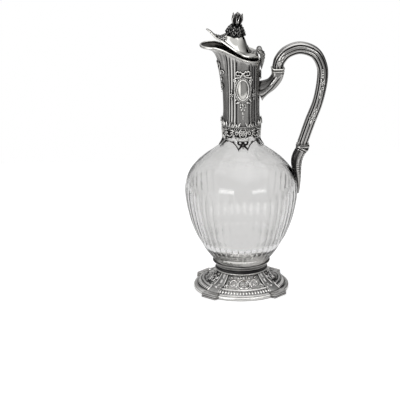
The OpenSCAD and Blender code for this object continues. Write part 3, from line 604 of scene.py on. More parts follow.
# near-black silver: painted shade inside the mouth
inside = silver("shadedInside", (0.07, 0.066, 0.06), (0.01, 0.01, 0.01), 1.0, 0.2, 0.3, 0.6)
under = silver("tarnishedUnderside", (0.52, 0.45, 0.35), (0.05, 0.036, 0.024), 1.1, 0.3, 0.3, 0.62)
disc = silver("cupSilver", (0.80, 0.75, 0.66), (0.2, 0.16, 0.12), 0.8, 0.14, 0.2, 0.45)

glassLook = dict(tints=((0.835, 0.832, 0.828), (0.87, 0.867, 0.862)), haze=38, smooth=0.02, rough=0.1,
                 shadow=0.88, ripple=120, rippleDepth=0.0005)
plasterLook = dict(tints=((0.80, 0.79, 0.76), (0.90, 0.89, 0.87)), speck=260, glow=0.6, depth=0.0004)


def buildGlass():
    look = glassLook
    material, tree, shader = newMaterial("clearGlass", {"Transmission Weight": 1.0, "IOR": 1.5})
    haze = addNoise(tree, look["haze"], 4)
    addTones(tree, shader, haze, *look["tints"])
    rough = addNode(tree, "ShaderNodeMapRange")
    setInputs(rough, {"To Min": look["smooth"], "To Max": look["rough"]})
    wire(tree, haze, rough.inputs["Value"])
    wire(tree, rough.outputs[0], shader.inputs["Roughness"])
    path = addNode(tree, "ShaderNodeLightPath")      # light and shadow pass through the glass
    either = maths(tree, "MAXIMUM", path.outputs["Is Shadow Ray"], path.outputs["Is Diffuse Ray"])
    clear = maths(tree, "SUBTRACT", 1.0, maths(tree, "MULTIPLY", either, look["shadow"]))
    wire(tree, clear, shader.inputs["Alpha"])
    addDent(tree, shader, addNoise(tree, look["ripple"]), 0.12, look["rippleDepth"])
    return material


def buildPlaster():
    look = plasterLook
    material, tree, shader = newMaterial("beddingPlaster", {"Roughness": 0.85})
    speck = addNoise(tree, look["speck"], 6)
    tone = addTones(tree, shader, speck, *look["tints"])
    path = addNode(tree, "ShaderNodeLightPath")      # painted light: the plaster glows for rays through the glass, in place of the light that glass would bring to it
    brought = maths(tree, "MULTIPLY", path.outputs["Is Transmission Ray"], look["glow"])
    wire(tree, tone, shader.inputs["Emission Color"])
    wire(tree, brought, shader.inputs["Emission Strength"])
    addDent(tree, shader, speck, 1.0, look["depth"])
    return material


clearGlass = buildGlass()
plaster = buildPlaster()


def dress(piece, body, materials, nodes=()):
    for material in materials:
        piece.data.materials.append(material)
    if nodes:
        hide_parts(*nodes)
    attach(piece, body)


def dressNode(name, material):
    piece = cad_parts[name]
    for slot in piece.material_slots:
        slot.material = material


dressNode("glass_cup", disc)
dressNode("cup_plaster", plaster)
dressNode("neck_plaster", plaster)
dressNode("throat_liner", bright)
print("materials are mixed")


# Glass. A line holds rows of (height, radius).

glass = dict(baseZ=19.8, seatZ=29.6, floorZ=28.8, roundZ=60, neckZ=164, lipZ=220, boreR=11.9, wall=3.2,
             bed=1.5, flutes=40, fluteDepth=0.75, fluteLow=1.5, fluteTop=114, bellyR=56.4, perFlute=9,
             outerRows=[(30.2, 37, 16), (38.5, 100, 34), (101.5, 115, 26), (117, 157, 34), (161, 220, 10)])
glassLine = [(29.6, 27.2), (38, 33.6), (46, 38.9), (62, 47.4), (80, 53.1), (101, 56.4), (113, 55.1),
             (122, 51.4), (130, 45), (137, 37.2), (143.5, 28.6), (150, 20.6), (157, 16.8), (164, 15.6),
             (180, 15.6)]
cupLine = [(19.4, 22.2), (21.6, 22.8), (25.6, 25.3), (28.4, 27.7), (29.6, 28.7)]


def glassR(z):
    # outer radius of the glass, without its flutes
    z = np.asarray(z, float)
    body = through(glassLine, np.clip(z, glass["seatZ"], glass["neckZ"]))
    inCup = through(cupLine, np.clip(z, cupLine[0][0], cupLine[-1][0])) - glass["bed"]
    return np.where(z < glass["seatZ"], inCup, body)


def hollowR(z):
    # inner radius: a round bowl at the bottom, then an even wall
    roundZ = glass["roundZ"]
    bowl = (glassR(roundZ) - glass["wall"]) * dome((roundZ - z) / (roundZ - glass["floorZ"]))
    return np.where(z < roundZ, bowl, np.maximum(glass["boreR"], glassR(z) - glass["wall"]))


def makeGlass():
    base, seat, lip, roundZ = glass["baseZ"], glass["seatZ"], glass["lipZ"], glass["roundZ"]
    outer = np.concatenate([[base] * 2, np.linspace(base, seat, 8)[1:]]
                           + [np.linspace(*span) for span in glass["outerRows"]])
    bottom = roundZ - (roundZ - glass["floorZ"]) * np.sin(np.linspace(0.03, 1, 22) * pi / 2)
    inner = np.concatenate([np.linspace(lip, 160, 8), np.linspace(157, 62, 52), bottom])
    heights = np.concatenate([outer, inner])
    last = len(heights) - 1

    def place(u, v):
        row = np.round(v * last).astype(int)
        z = heights[row]
        trough = 1 - (2 * ((u * glass["flutes"]) % 1) - 1) ** 2
        high = (1 - unit((glass["fluteTop"] - z) / 9)) ** 2
        low = (1 - unit((z - seat - glass["fluteLow"]) / 4)) ** 2
        cut = glass["fluteDepth"] * np.maximum(0, trough - high - low) * glassR(z) / glass["bellyR"]
        cut = np.where(z < seat + glass["fluteLow"], 0, cut)
        r = np.where(row >= len(outer), hollowR(z), glassR(z) - cut)
        r = np.where((row == 0) | (row == last), 0, r)
        return r * np.cos(2 * pi * u), r * np.sin(2 * pi * u), z

    piece = wrapGrid("glassBody", glass["flutes"] * glass["perFlute"], last, place)
    weldAndFace(piece)
    smoothShade(piece, 24)
    dress(piece, "jug", [clearGlass], ["glass_body"])


makeGlass()
print("glass is blown")


# Foot. footTop and footUnder are (radius, height) from the edge in, and from the middle out.

foot = dict(strapTop=8, strapLow=15, strapLift=0.9, rail=1.5, railLift=0.7, huskStep=4.6, huskLift=0.4,
            eggs=88, eggR=42.2, eggLift=0.75, reliefLift=0.85, underShare=0.8, beadRun=14.6, panelRun=18.4,
            topZ=19.2, columns=600, rowsTop=92, rowsUnder=44)
footTop = [(47.8, 0), (47.8, 2.5), (47.2, 3.2), (46.2, 3.5), (45.2, 3.8), (44.6, 4.8), (43, 6.0), (41, 7.1),
           (39.8, 7.7), (39.3, 8.5), (38.6, 8.9), (37.9, 8.5), (37.2, 8.0)]
footTop += [(lerp(37.2, 24, t), lerp(8, 19.2, t ** 1.45)) for t in (0.15, 0.3, 0.45, 0.6, 0.75, 0.88, 1)]
footUnder = [(24.2, 17.8), (26.5, 15.4), (29.6, 12.4), (33.5, 9.0), (37, 6.8), (38.6, 7.6), (40, 6.2),
             (43.6, 4.0), (44.6, 2.6), (46.5, 2.3), (46.6, 0)]
panelScrolls = mirrored([
    curl(12.2, 8.6, 5.2, 1.0, 215, -470, 1.0, 0.55), curl(18.2, 3.6, 2.6, 0.7, 120, -420, 0.75, 0.45),
    drop(7.2, 3.2, 200, 4.5, 0.9), drop(8.5, 14.2, 150, 4.2, 1.0), drop(13.5, 14.6, 20, 4.6, 1.1),
    drop(16.8, 9.6, 60, 4.4, 1.0), drop(17.6, 7.6, -20, 3.0, 0.8), drop(3.0, 14.6, 60, 3.2, 0.9),
    curl(4.6, 16.2, 2.2, 0.6, 250, 330, 0.6, 0.4), drop(10.5, 1.6, 0, 5.0, 0.8)])
panelScrolls += [hoop(0, 8.2, 6.3, 5.3, 0.75), hoop(0, 8.2, 4.6, 3.7, 0.35, 0.6), drop(0, 14.2, 90, 3.6, 1.1)]
panelScrolls += rosette(0, 8.2, 6, 2.9, 0.75) + [stroke((-21, 0.4, 0.4), (21, 0.4, 0.4), lift=0.5)]
footHusk = [drop(0, 0.6, 90, 3.6, 1.5)]


def asRun(points):
    # stations along a bent line: length so far, then the two coordinates
    run = [0.0]
    for a, b in zip(points[:-1], points[1:]):
        run.append(run[-1] + hypot(b[0] - a[0], b[1] - a[1]))
    return [(d, p[0], p[1]) for d, p in zip(run, points)]


def footRelief(angle, radius, run):
    # height of the chasing, and its patina and painted shade; straps run out to the four corners
    offPanel, offStrap = (angle + 45) % 90 - 45, np.radians(angle % 90 - 45)
    px, py = radius * np.cos(offStrap), np.abs(radius * np.sin(offStrap))
    half = lerp(foot["strapTop"], foot["strapLow"], unit((px - 22) / 22.9)) / 2
    onStrap = ease((half - py) / 0.5 + 0.5) * ease((45.2 - radius) / 0.8)
    rails = dome((half - py - foot["rail"] / 2) / (foot["rail"] / 2)) * ease((45.0 - radius) / 0.6)
    husks = relief(py, (px - 24) % foot["huskStep"], footHusk) * ease((41 - radius) / 2) * (half > 3)
    husks = np.maximum(husks, 0)
    fromBead = run - foot["beadRun"]
    inPanel = (fromBead > 0) & (fromBead < foot["panelRun"])
    drawn = relief(offPanel * pi / 180 * 34, fromBead, panelScrolls)
    drawn = np.where(inPanel, np.maximum(drawn, 0), 0)
    turn = (angle * foot["eggs"] / 360) % 1 - 0.5
    egg = np.sqrt(np.maximum(0, 1 - (turn / 0.4) ** 2 - ((radius - foot["eggR"]) / 2.2) ** 2))
    band = (radius > 39.9) & (radius < 44.6) & (run > 3.5)
    egg = np.where(band, egg, 0)
    plain = drawn * foot["reliefLift"] + egg * foot["eggLift"]
    strap = foot["strapLift"] + rails * foot["railLift"] + husks * foot["huskLift"]
    ground = np.where(inPanel, 1 - unit(drawn * 1.6), 0) * 0.5 + np.where(band, 1 - unit(egg * 1.9), 0) * 0.9
    strapEdge = (py > half - 0.25) & (py < half + 0.5)
    strapGround = (1 - unit(rails + husks * 1.4)) * 0.42 + 0.9 * strapEdge
    # painted shade: the two side panels are darker than the front and back
    aside = np.cos(np.radians(angle)) ** 2
    patinaAndShade = lerp(ground, strapGround, onStrap) * lerp(0.75, 1.4, aside) + 0.3 * aside
    return lerp(plain, strap, onStrap), patinaAndShade * (run > 3)


def makeFoot():
    top, low = asRun(footTop), asRun(footUnder)
    topEnd, lowEnd, rowsTop = top[-1][0], low[-1][0], foot["rowsTop"]
    rows = rowsTop + foot["rowsUnder"]
    topRuns = np.concatenate([np.linspace(0, 4, 6), np.linspace(4.3, 13.8, 24),
                              np.linspace(14.0, topEnd, rowsTop - 30)])
    deep = {}

    def place(u, v):
        row = np.round(v * rows).astype(int)
        onTop = row < rowsTop
        run = np.where(onTop, topRuns[np.minimum(row, rowsTop - 1)], 0)
        back = unit((row - rowsTop) / foot["rowsUnder"]) * lowEnd
        radius = np.where(onTop, through(top, run, 1), through(low, back, 1))
        z = np.where(onTop, through(top, run, 2), through(low, back, 2))
        # the underside shows the same chasing in reverse
        same = np.where(onTop, run, np.interp(radius, [24, 37.2, 44.6, 47.8], [topEnd, 14.6, 5.6, 0]))
        height, ground = footRelief(u * 360, radius, same)
        dr, dz = alongLine(top, run, 0.05)
        stamped = height * foot["underShare"] * ease(back / 2) * ease((lowEnd - back) / 5)
        height = np.where(onTop, height, stamped)
        fade = np.where(onTop, ease((topEnd - run) / 0.8), 1)
        r = radius + np.where(onTop, dz, 0) * height * fade
        z = np.clip(z + np.where(onTop, -dr, 1) * height * fade, 0, foot["topZ"])
        deep["patinaAndShade"] = np.where(onTop, ground, 0.25 + 0.5 * unit(height / 1.6))
        return r * np.cos(2 * pi * u), r * np.sin(2 * pi * u), z

    piece = wrapGrid("footShell", foot["columns"], rows, place)
    markPatinaAndShade(piece, deep["patinaAndShade"])
    weldAndFace(piece)
    for material in (footSilver, under):
        piece.data.materials.append(material)
    for face in piece.data.polygons:
        c, n = face.center / mm, face.normal
        r = hypot(c.x, c.y)
        insideRim = r < 46.9 and c.z < 3.2 and n.x * c.x + n.y * c.y < -0.5 * r
        if n.z < -0.15 or insideRim:
            face.material_index = 1
    smoothShade(piece, 50)
    dress(piece, "jug", [], ["foot_shell"])


# A tab is a small block drawn up in steps of (rise, inset) and hollowed from below.
tab = dict(width=18, inX=44.2, outX=51.6, lowH=1.5, wall=1.2, hollowH=3.6, edge=0.16,
           turns=(45, 135, 225, 315),
           steps=[(0.25, 0.35), (0.35, 0.0), (0.2, -0.3), (0.9, 0.0), (0.3, 0.45), (0.3, 0.0), (0.2, -0.25),
                  (0.6, 0.0), (0.3, 0.35), (0.0, 0.9), (-0.2, 0.25), (0.0, 2.2)],
           grooveZ=[1.5, 1.75, 2.1, 2.4, 3.4, 3.75, 4.05, 4.35, 5],
           grooveDark=[0.2, 1, 1, 0.15, 0.15, 1, 1, 0.1, 0])


def pickFaces(piece, test):
    # ends in edit mode, with the faces picked that pass the test
    editAll(piece)
    bpy.ops.mesh.select_mode(type="FACE")
    bpy.ops.mesh.select_all(action="DESELECT")
    leaveEdit()
    for face in piece.data.polygons:
        face.select = test(face)
    bpy.ops.object.mode_set(mode="EDIT")


def makeTab():
    letGo()
    deep, wide = tab["outX"] - tab["inX"], tab["width"]
    middle = ((tab["inX"] + tab["outX"]) / 2 * mm, 0, tab["lowH"] / 2 * mm)
    bpy.ops.mesh.primitive_cube_add(size=1, location=middle)
    piece = bpy.context.object
    piece.dimensions = (deep * mm, wide * mm, tab["lowH"] * mm)
    bpy.ops.object.transform_apply(location=True, rotation=True, scale=True)
    pickFaces(piece, lambda face: face.normal.z > 0.9)
    for rise, drawIn in tab["steps"]:
        bpy.ops.mesh.extrude_region_move(TRANSFORM_OT_translate={"value": (0, 0, rise * mm)})
        bpy.ops.transform.resize(value=((deep - 2 * drawIn) / deep, (wide - 2 * drawIn) / wide, 1))
        wide, deep = wide - 2 * drawIn, deep - 2 * drawIn
    pickFaces(piece, lambda face: face.normal.z < -0.9 and face.center.z < 0.1 * mm)
    bpy.ops.mesh.inset(thickness=tab["wall"] * mm)
    bpy.ops.mesh.extrude_region_move(TRANSFORM_OT_translate={"value": (0, 0, tab["hollowH"] * mm)})
    leaveEdit()
    softEdge(piece, tab["edge"], 2, 30)
    flat = readPoints(piece) / mm
    grooves = np.interp(flat[:, 2], tab["grooveZ"], tab["grooveDark"])
    markPatinaAndShade(piece, np.where(np.hypot(flat[:, 0] - 48, flat[:, 1] * 0.4) > 2.6, grooves, 0.3))
    return piece


def makeTabs():
    first = makeTab()
    flat = readPoints(first) / mm
    tabs = []
    for turn in tab["turns"]:
        copy = first.copy()
        copy.data = first.data.copy()
        bpy.context.collection.objects.link(copy)
        c, s = cos(radians(turn)), sin(radians(turn))
        writePoints(copy, flat[:, 0] * c - flat[:, 1] * s, flat[:, 0] * s + flat[:, 1] * c, flat[:, 2])
        tabs.append(copy)
    bpy.data.objects.remove(first)
    piece = joinAs(tabs, "footTabs")
    smoothShade(piece, 35)
    dress(piece, "jug", [drawnSilver], ["foot_shell"])


makeFoot()
makeTabs()

gallery = dict(profile=[
    (25.7, 19.3), (26.3, 19.5), (26.55, 20.0), (26.5, 20.5), (26.1, 20.9), (25.4, 21.1), (25.15, 21.4),
    (24.9, 22.0), (24.8, 22.7), (24.95, 23.4), (25.3, 24.0), (25.75, 24.4), (26.1, 24.6), (26.2, 25.0),
    (26.15, 25.4), (26.5, 25.8), (27.0, 26.5), (27.4, 27.0), (27.6, 27.25), (27.75, 27.3), (28.3, 27.5),
    (28.7, 27.85), (28.8, 28.3), (28.7, 28.75), (28.4, 29.1), (27.9, 29.2), (27.25, 29.2), (27.2, 28.9),
    (26.6, 27.3), (25.5, 25.7), (23.8, 23.0), (22.6, 20.2), (22.5, 19.3)],
    grooves=[(22.8, 1.3, 0.85), (27.25, 0.25, 1.0), (25.5, 0.25, 0.8), (21.15, 0.25, 1.0)], lipZ=28.2,
    faceR=24)


def makeGallery():
    piece = turnProfile("galleryRing", gallery["profile"])
    x, y, z = (readPoints(piece) / mm).T
    # painted shade: the ring is darker all over, at its lip under the glass, in its grooves and on its inner
    # face
    paintedShade = 0.25 + ease((z - gallery["lipZ"]) / 0.5)
    for middle, width, deep in gallery["grooves"]:
        paintedShade = paintedShade + bump(z, middle, width) * deep
    markPatinaAndShade(piece, np.where(np.hypot(x, y) > gallery["faceR"], paintedShade, 1))
    smoothShade(piece, 40)
    dress(piece, "jug", [antique], ["gallery_ring"])


makeGallery()
print("foot and gallery ring are chased")


# Neck casing, its wire and what lies on it. Angles are measured from the spout.

mouth = dict(backR=19, spoutR=14, reach=27, spoutZ=253.4, backZ=237, wireR=1.1, gap=0.1)
rimFall = [(0, 0), (0.17, 0.14), (0.34, 0.36), (0.51, 0.58), (0.68, 0.77), (0.85, 0.91), (1, 1)]
casing = dict(middleR=18.2, wall=1.1, lowZ=173, reedH=0.75, reedW=2.7, reeds=(45, 65, 115, 135), grooveH=0.28,
              sideReedH=0.25, foldH=0.22, unevenH=0.1, reliefR=18.6, columns=264, rows=150)
waist = [(173, 1.2), (178, 0.5), (186, 0), (263, 0)]


def fromSpout(angle, r):
    return -r * np.cos(angle), r * np.sin(angle)


def mouthOut(angle, more=0.0):
    # plan of the mouth: a round back drawn out to a smaller round spout
    back, spout, reach = mouth["backR"] + more, mouth["spoutR"] + more, mouth["reach"]
    b = np.abs(angle)
    tangent = pi / 2 - np.arcsin((back - spout) / reach)
    turn = np.arctan2(spout * np.sin(tangent), reach + spout * np.cos(tangent))
    side = back / np.maximum(0.2, np.cos(b - tangent))
    front = reach * np.cos(b) + np.sqrt(np.maximum(0, spout * spout - (reach * np.sin(b)) ** 2))
    return np.where(b >= tangent, back, np.where(b >= turn, side, front))


def rimZ(x):
    t = unit((x + mouth["reach"] + 1) / (mouth["reach"] + 1 + mouth["backR"]))
    return lerp(mouth["spoutZ"], mouth["backZ"], unit(through(rimFall, t)))


def casingTop(angle):
    return rimZ(-mouthOut(angle) * np.cos(angle)) - mouth["wireR"] - mouth["gap"]


def waistR(z):
    return through(waist, np.clip(z, waist[0][0], waist[-1][0]))


def casingR(angle, z):
    t = unit((z - casing["lowZ"]) / (casingTop(angle) - casing["lowZ"]))
    return lerp(casing["middleR"], mouthOut(angle), 0.5 * t ** 3.3 + 0.5 * t ** 30) + waistR(z)


def makeCasing():
    deep = {}
    half = casing["reedW"] / casing["middleR"] / 2

    def place(u, v):
        angle = (u - 0.5) * 2 * pi
        around = np.abs(angle)
        t = v ** 0.9
        z = lerp(casing["lowZ"], casingTop(angle), t)
        toBack = ease((around - radians(98)) / radians(14))      # painted shade: the side by the handle is darker
        height, patinaAndShade = u * 0, 0.28 * toBack
        for reed in casing["reeds"]:
            q = (around - radians(reed)) / half
            height = height + casing["reedH"] * dome(q) + casing["sideReedH"] * bump(np.abs(q), 1.75, 0.22)
            for side in (-1.2, 1.2):
                groove = bump(q, side, lerp(0.36, 0.5, toBack))
                height = height - casing["grooveH"] * groove
                patinaAndShade = patinaAndShade + groove * 1.05
        folds = np.cos(np.clip((around - radians(22)) / radians(23), -1, 1) * pi)
        height = height + casing["foldH"] * folds * (around < radians(45))
        ends = ease((1 - t) * 14) * ease(t * 25 + 0.2)
        spout = ease((radians(52) - around) / 0.2)
        patinaAndShade = patinaAndShade + spout * (0.3 + 0.35 * np.cos(angle * 21) ** 2)
        uneven = casing["unevenH"] * np.sin(9 * angle + 0.7) * np.sin(z / 6.5 + 2 * np.cos(angle * 3))
        # painted shade at the foot, where the skirt covers the casing, and a dark line just under the wire
        deep["patinaAndShade"] = patinaAndShade * ends * 0.95 + 0.35 * (1 - ease(t * 12)) + 0.5 * bump(1 - t, 0, 0.008)
        return (*fromSpout(angle, casingR(angle, z) + (height + uneven) * ends), z)

    piece = wrapGrid("neckCasing", casing["columns"], casing["rows"], place)
    markPatinaAndShade(piece, deep["patinaAndShade"])
    faceOut(piece)
    weld(piece)
    solidWall(piece, casing["wall"])
    for material in (antique, inside):
        piece.data.materials.append(material)
    # faces that look inwards take the near-black silver, painted shade inside the mouth
    for face in piece.data.polygons:
        spread = 0 if face.center.z < 0.2 else 0.009      # the mouth's middle lies towards the spout
        if face.normal.x * (face.center.x + spread) + face.normal.y * face.center.y < 0:
            face.material_index = 1
    smoothShade(piece, 45)
    dress(piece, "jug", [], ["neck_casing"])


def makeWire():
    def place(u, v):
        angle, turn = (u - 0.5) * 2 * pi, v * 2 * pi
        r = mouthOut(angle, mouth["wireR"] * np.cos(turn) - casing["wall"] / 2)
        z = rimZ(-mouthOut(angle) * np.cos(angle)) - mouth["wireR"] * np.sin(turn)
        return (*fromSpout(angle, r), z)

    piece = wrapGrid("mouthWire", 240, 16, place)
    weldAndFace(piece)
    smoothShade(piece, 60)
    dress(piece, "jug", [bright], ["mouth_wire"])


makeCasing()
makeWire()


def onCasing(centre, lift):
    # s runs round the neck from the given angle, t is the height
    def place(s, t, height):
        angle = radians(centre) + s / casing["reliefR"]
        angle = np.where(angle > pi, angle - 2 * pi, angle)
        return (*fromSpout(angle, casingR(angle, t) + lift + height), t)
    return place


cartouche = dict(plaqueZ=211.4, bowZ=228.0, sides=(90, -90), halfWidth=5.2, halfHeight=9.9, domeH=0.75)


def makePlaque(centre):
    # the plain oval inside a cartouche, slightly domed
    surface = onCasing(centre, 0.35)

    def place(u, v):
        s = cartouche["halfWidth"] * v * np.cos(2 * pi * u)
        t = cartouche["plaqueZ"] + cartouche["halfHeight"] * v * np.sin(2 * pi * u)
        return surface(s, t, cartouche["domeH"] * (1 - v * v) + 0.05)

    piece = wrapGrid("plaque", 48, 14, place)
    weld(piece)
    faceOut(piece)
    solidWall(piece, 0.5)
    smoothShade(piece, 50)
    return piece


def frameStrokes(z):
    # a double oval, leaves on its shoulders, and a rosette with drops under it
    leaves = mirrored([
        drop(6.6, z + 8.0, 65, 4.4, 1.0), drop(7.6, z + 4.2, 80, 4.6, 0.95), drop(8.3, z - 1.2, 88, 4.2, 0.7),
        curl(8.4, z + 10.2, 1.5, 0.4, 250, 330, 0.5, 0.35), drop(6.6, z - 9.2, -55, 4.4, 1.0),
        drop(3.4, z - 12.6, -20, 4.4, 0.95), drop(1.8, z - 13.6, -75, 3.4, 0.8)])
    drops = [drop(0, z - 13.2, -90, 3.4, 1.1), drop(0, z - 22.0, -90, 4.2, 1.1), dot(0, z - 27.4, 0.8),
             dot(0, z - 29.5, 0.6)]
    ovals = [hoop(0, z, 5.9, 10.5, 0.85, 1.3), hoop(0, z, 7.9, 12.0, 0.5, 0.75)]
    return ovals + leaves + rosette(0, z - 18.4, 5, 3.3, 1.05, 18, 1.3) + drops


def bowStrokes(z):
    # two crumpled loops, a knot, and tails that fall beside the oval
    return mirrored([
        stroke((0.8, z + 0.3, 0.5), (2.2, z + 2.4, 0.75), (3.8, z + 1.9, 0.6), (5.2, z + 2.7, 0.75),
               (6.8, z + 1.4, 0.7), (6.5, z - 0.6, 0.75), (5.4, z - 1.6, 0.6), (3.8, z - 1.3, 0.75),
               (2.3, z - 2.0, 0.65), (0.8, z - 0.4, 0.5)),
        stroke((0.8, z - 1.6, 0.55), (2.8, z - 3.4, 0.8), (5.2, z - 3.6, 0.6), (7.0, z - 4.4, 0.75),
               (8.4, z - 3.4, 0.3), lift=0.85),
        dot(3.9, z + 0.3, 0.55, 0.8)]) + [dot(0, z + 0.1, 1.4, 1.35)]


def makeCartouches():
    plaqueZ, bowZ = cartouche["plaqueZ"], cartouche["bowZ"]
    plaques, frames, bows = [], [], []

    def bowWeb(s, t):
        return (np.abs(np.abs(s) - 3.8) < 2.8) & (np.abs(t - bowZ) < 1.8)

    for centre in cartouche["sides"]:
        plaques.append(makePlaque(centre))
        frames.append(castOrnament("frame", (-10.4, 10.4), (plaqueZ - 31, plaqueZ + 14),
                                   frameStrokes(plaqueZ), onCasing(centre, 0.35), rise=0.95, wall=0.5))
        bows.append(castOrnament("bow", (-9, 9), (bowZ - 5.6, bowZ + 3.8), bowStrokes(bowZ),
                                 onCasing(centre, 0.6), rise=1.1, wall=0.6, cell=0.16, web=bowWeb))
    dress(joinAs(plaques, "cartouchePlaques"), "jug", [bright], ["side_cartouches"])
    dress(joinAs(frames, "cartoucheFrames"), "jug", [chased], ["side_cartouches"])
    dress(joinAs(bows, "ribbonBows"), "jug", [chased], ["ribbon_bows"])


makeCartouches()

# Scrolls on the spout's side of the neck, and knots between the reeds.
spoutSpray = mirrored([
    stroke((1.0, 224, 0.35), (2.6, 229, 0.75), (5.2, 233, 0.6), (6.4, 237, 0.3), lift=0.8),
    curl(7.6, 227.5, 2.6, 0.6, 200, -400, 0.65, 0.35), drop(1.0, 231, 80, 6.2, 0.85),
    drop(3.6, 234.2, 70, 4.6, 0.7), drop(2.4, 221.5, -20, 4.6, 0.8), drop(1.6, 216.5, -50, 3.8, 0.7),
    curl(5.2, 212.5, 2.2, 0.6, 90, 380, 0.55, 0.3), drop(1.6, 210.5, -60, 3.4, 0.65)])
spoutSpray += [drop(0, 224, 90, 9.5, 1.3), dot(0, 222.4, 1.1, 1.2), drop(0, 220.8, -90, 5.2, 1.1),
               drop(0, 214.6, -90, 4.4, 0.95), dot(0, 209.0, 0.7), dot(0, 207.0, 0.6), dot(0, 205.2, 0.5)]
reedKnots = rosette(0, 206, 5, 2.4, 0.75, 18) + [drop(0, 203.4, -90, 3.2, 0.8), drop(0, 208.6, 90, 3.2, 0.8)]


def makeSprays():
    pieces = [castOrnament("spray", (-10.5, 10.5), (204.5, 241), spoutSpray, onCasing(0, 0.5), rise=0.8,
                           wall=0.8, cell=0.22)]
    for centre in (55, -55, 125, -125):
        pieces.append(castOrnament("knot", (-3.2, 3.2), (200, 212), reedKnots, onCasing(centre, 0.75),
                                   rise=0.7, wall=0.9))
    dress(joinAs(pieces, "neckSprays"), "jug", [chased])


makeSprays()
print("neck casing is reeded and mounted")


# Garland skirt over the glass.

skirt = dict(lowZ=149.4, topZ=178.4, wall=0.8, rise=1.0, halfWidth=15.0, reliefR=19.1, thicken=1.22,
             tailsZ=159.5, thickenTails=1.35, overGlass=0.4)


def skirtStrokes(withBow):
    # one quarter; those at the sides end in a bow, the others in a long leaf
    parts = mirrored([
        stroke((0, 172.6, 0.5), (15, 172.6, 0.5), lift=0.7),
        stroke((0, 169.4, 0.3), (15, 169.4, 0.3), lift=0.5),
        stroke((2.4, 178.0, 0.3), (3.6, 175.6, 0.75), (4.6, 173.2, 0.4)),
        stroke((7.4, 177.8, 0.3), (8.2, 175.4, 0.8), (9.4, 173.2, 0.4)),
        stroke((12.6, 177.8, 0.3), (13.2, 175.4, 0.8), (13.4, 173.2, 0.4)), drop(5.6, 173.4, 70, 3.6, 0.8),
        drop(10.6, 173.4, 100, 3.6, 0.8), curl(6.2, 166.4, 2.2, 0.5, 160, -420, 0.6, 0.35),
        curl(11.3, 165.6, 1.9, 0.5, 20, 400, 0.55, 0.3),
        stroke((1.8, 171.6, 0.5), (3.8, 167.6, 0.75), (3.0, 163.6, 0.55), (0.8, 160.6, 0.35)),
        drop(8.4, 164.6, -40, 3.6, 0.8), drop(8.8, 168.4, 20, 3.4, 0.75), drop(13.2, 169.2, 170, 3.2, 0.7),
        drop(4.8, 162.6, -75, 4.0, 0.85), drop(3.8, 159.6, -80, 3.8, 0.7), drop(7.6, 161.2, -120, 3.4, 0.7),
        drop(14.6, 162.6, 150, 3.4, 0.75), dot(14.9, 160.2, 0.7), dot(12.6, 160.4, 0.55),
        stroke((14.9, 157.6, 0.45), (10.6, 156.6, 0.45), (7.2, 154.6, 0.45), (5.0, 151.9, 0.4),
               (3.9, 149.8, 0.3), lift=0.6),
        drop(11.0, 158.0, 200, 3.0, 0.65)])
    parts += [dot(s, 171.0, 0.62, 0.7) for s in np.arange(-14.6, 14.7, 2.086)]
    parts += rosette(0, 166.6, 7, 3.0, 0.8, 12, 1.25) + [dot(0, 161.4, 0.9)]
    if withBow:
        parts += mirrored([hoop(2.9, 156.9, 2.3, 1.7, 0.6),
                           stroke((0.6, 156.2, 0.5), (1.6, 153.8, 0.75), (3.4, 151.6, 0.6),
                                  (4.2, 149.9, 0.25))])
        parts += [dot(0, 157, 1.1, 1.3), dot(0, 153.6, 0.6), dot(0, 152.1, 0.5)]
    else:
        parts += mirrored([drop(0.6, 158.8, -110, 4.6, 0.9), drop(0.6, 155.0, -106, 4.0, 0.75),
                           drop(2.7, 161.0, -95, 9.4, 1.2), drop(5.2, 161.4, -103, 8.0, 1.2),
                           drop(7.9, 161.6, -112, 6.0, 1.0)])
        parts += [drop(0, 159.6, -90, 10.0, 1.35), drop(1.9, 156.8, -82, 5.6, 0.6),
                  drop(-1.9, 156.8, -98, 5.6, 0.6)]
    thicker = []
    for points, lift in parts:
        tails = skirt["thickenTails"] if points[:, 1].max() < skirt["tailsZ"] else 1
        thicker.append((points * [1, 1, skirt["thicken"] * tails], lift))
    return thicker


def skirtInner(z):
    # the skirt clears the glass and lies on the casing's foot
    onNeck = casing["middleR"] + waistR(z) + 0.1
    onGlass = lerp(17.3, 18.3, (z - 156) / 17)
    return np.maximum(glassR(z) + skirt["overGlass"], np.where(z > casing["lowZ"], onNeck, onGlass))


def skirtBand(s, t):
    return (t > 161.6 - 1.2 * np.cos(s * 0.42)) & (t < 173.0) & (np.abs(s) <= skirt["halfWidth"] + 0.01)


# painted shade: the garland's lower tails are darker
def skirtPaintedShade(s, t):
    return 1.1 * ease((160 - t) / 2.5)


def makeSkirt():
    half = skirt["halfWidth"]
    pieces = []
    for centre in (0, 90, 180, 270):
        def place(s, t, height, centre=centre):
            angle = radians(centre) + s / skirt["reliefR"]
            return (*fromSpout(angle, skirtInner(t) + skirt["wall"] + height), t)

        pieces.append(castOrnament("garland", (-half, half), (skirt["lowZ"], skirt["topZ"]),
                                   skirtStrokes(centre in (90, 270)), place, rise=skirt["rise"],
                                   wall=skirt["wall"], web=skirtBand, paintedShade=skirtPaintedShade))
    dress(joinAs(pieces, "garlandSkirt"), "jug", [chased], ["garland_skirt"])


makeSkirt()
print("skirt is pierced")


# Lid. It is drawn shut and then turned open about the pin.

lid = dict(open=7, over=0.5, backX=16.7, pinX=18.3, pinZ=247, crownX=7.8, sheet=1.1, gap=0.65, edge=2,
           crownH=12.0, beakR=4, beakReach=29, beakRise=4, domeR=20, ribs=19, ribLift=0.22, tipLift=1.0,
           spike=3.4, columns=272)


def lidPose(x, y, z):
    a = radians(lid["open"])
    dx, dz = x - lid["pinX"], z - lid["pinZ"]
    return lid["pinX"] + dx * cos(a) + dz * sin(a), y, lid["pinZ"] - dx * sin(a) + dz * cos(a)


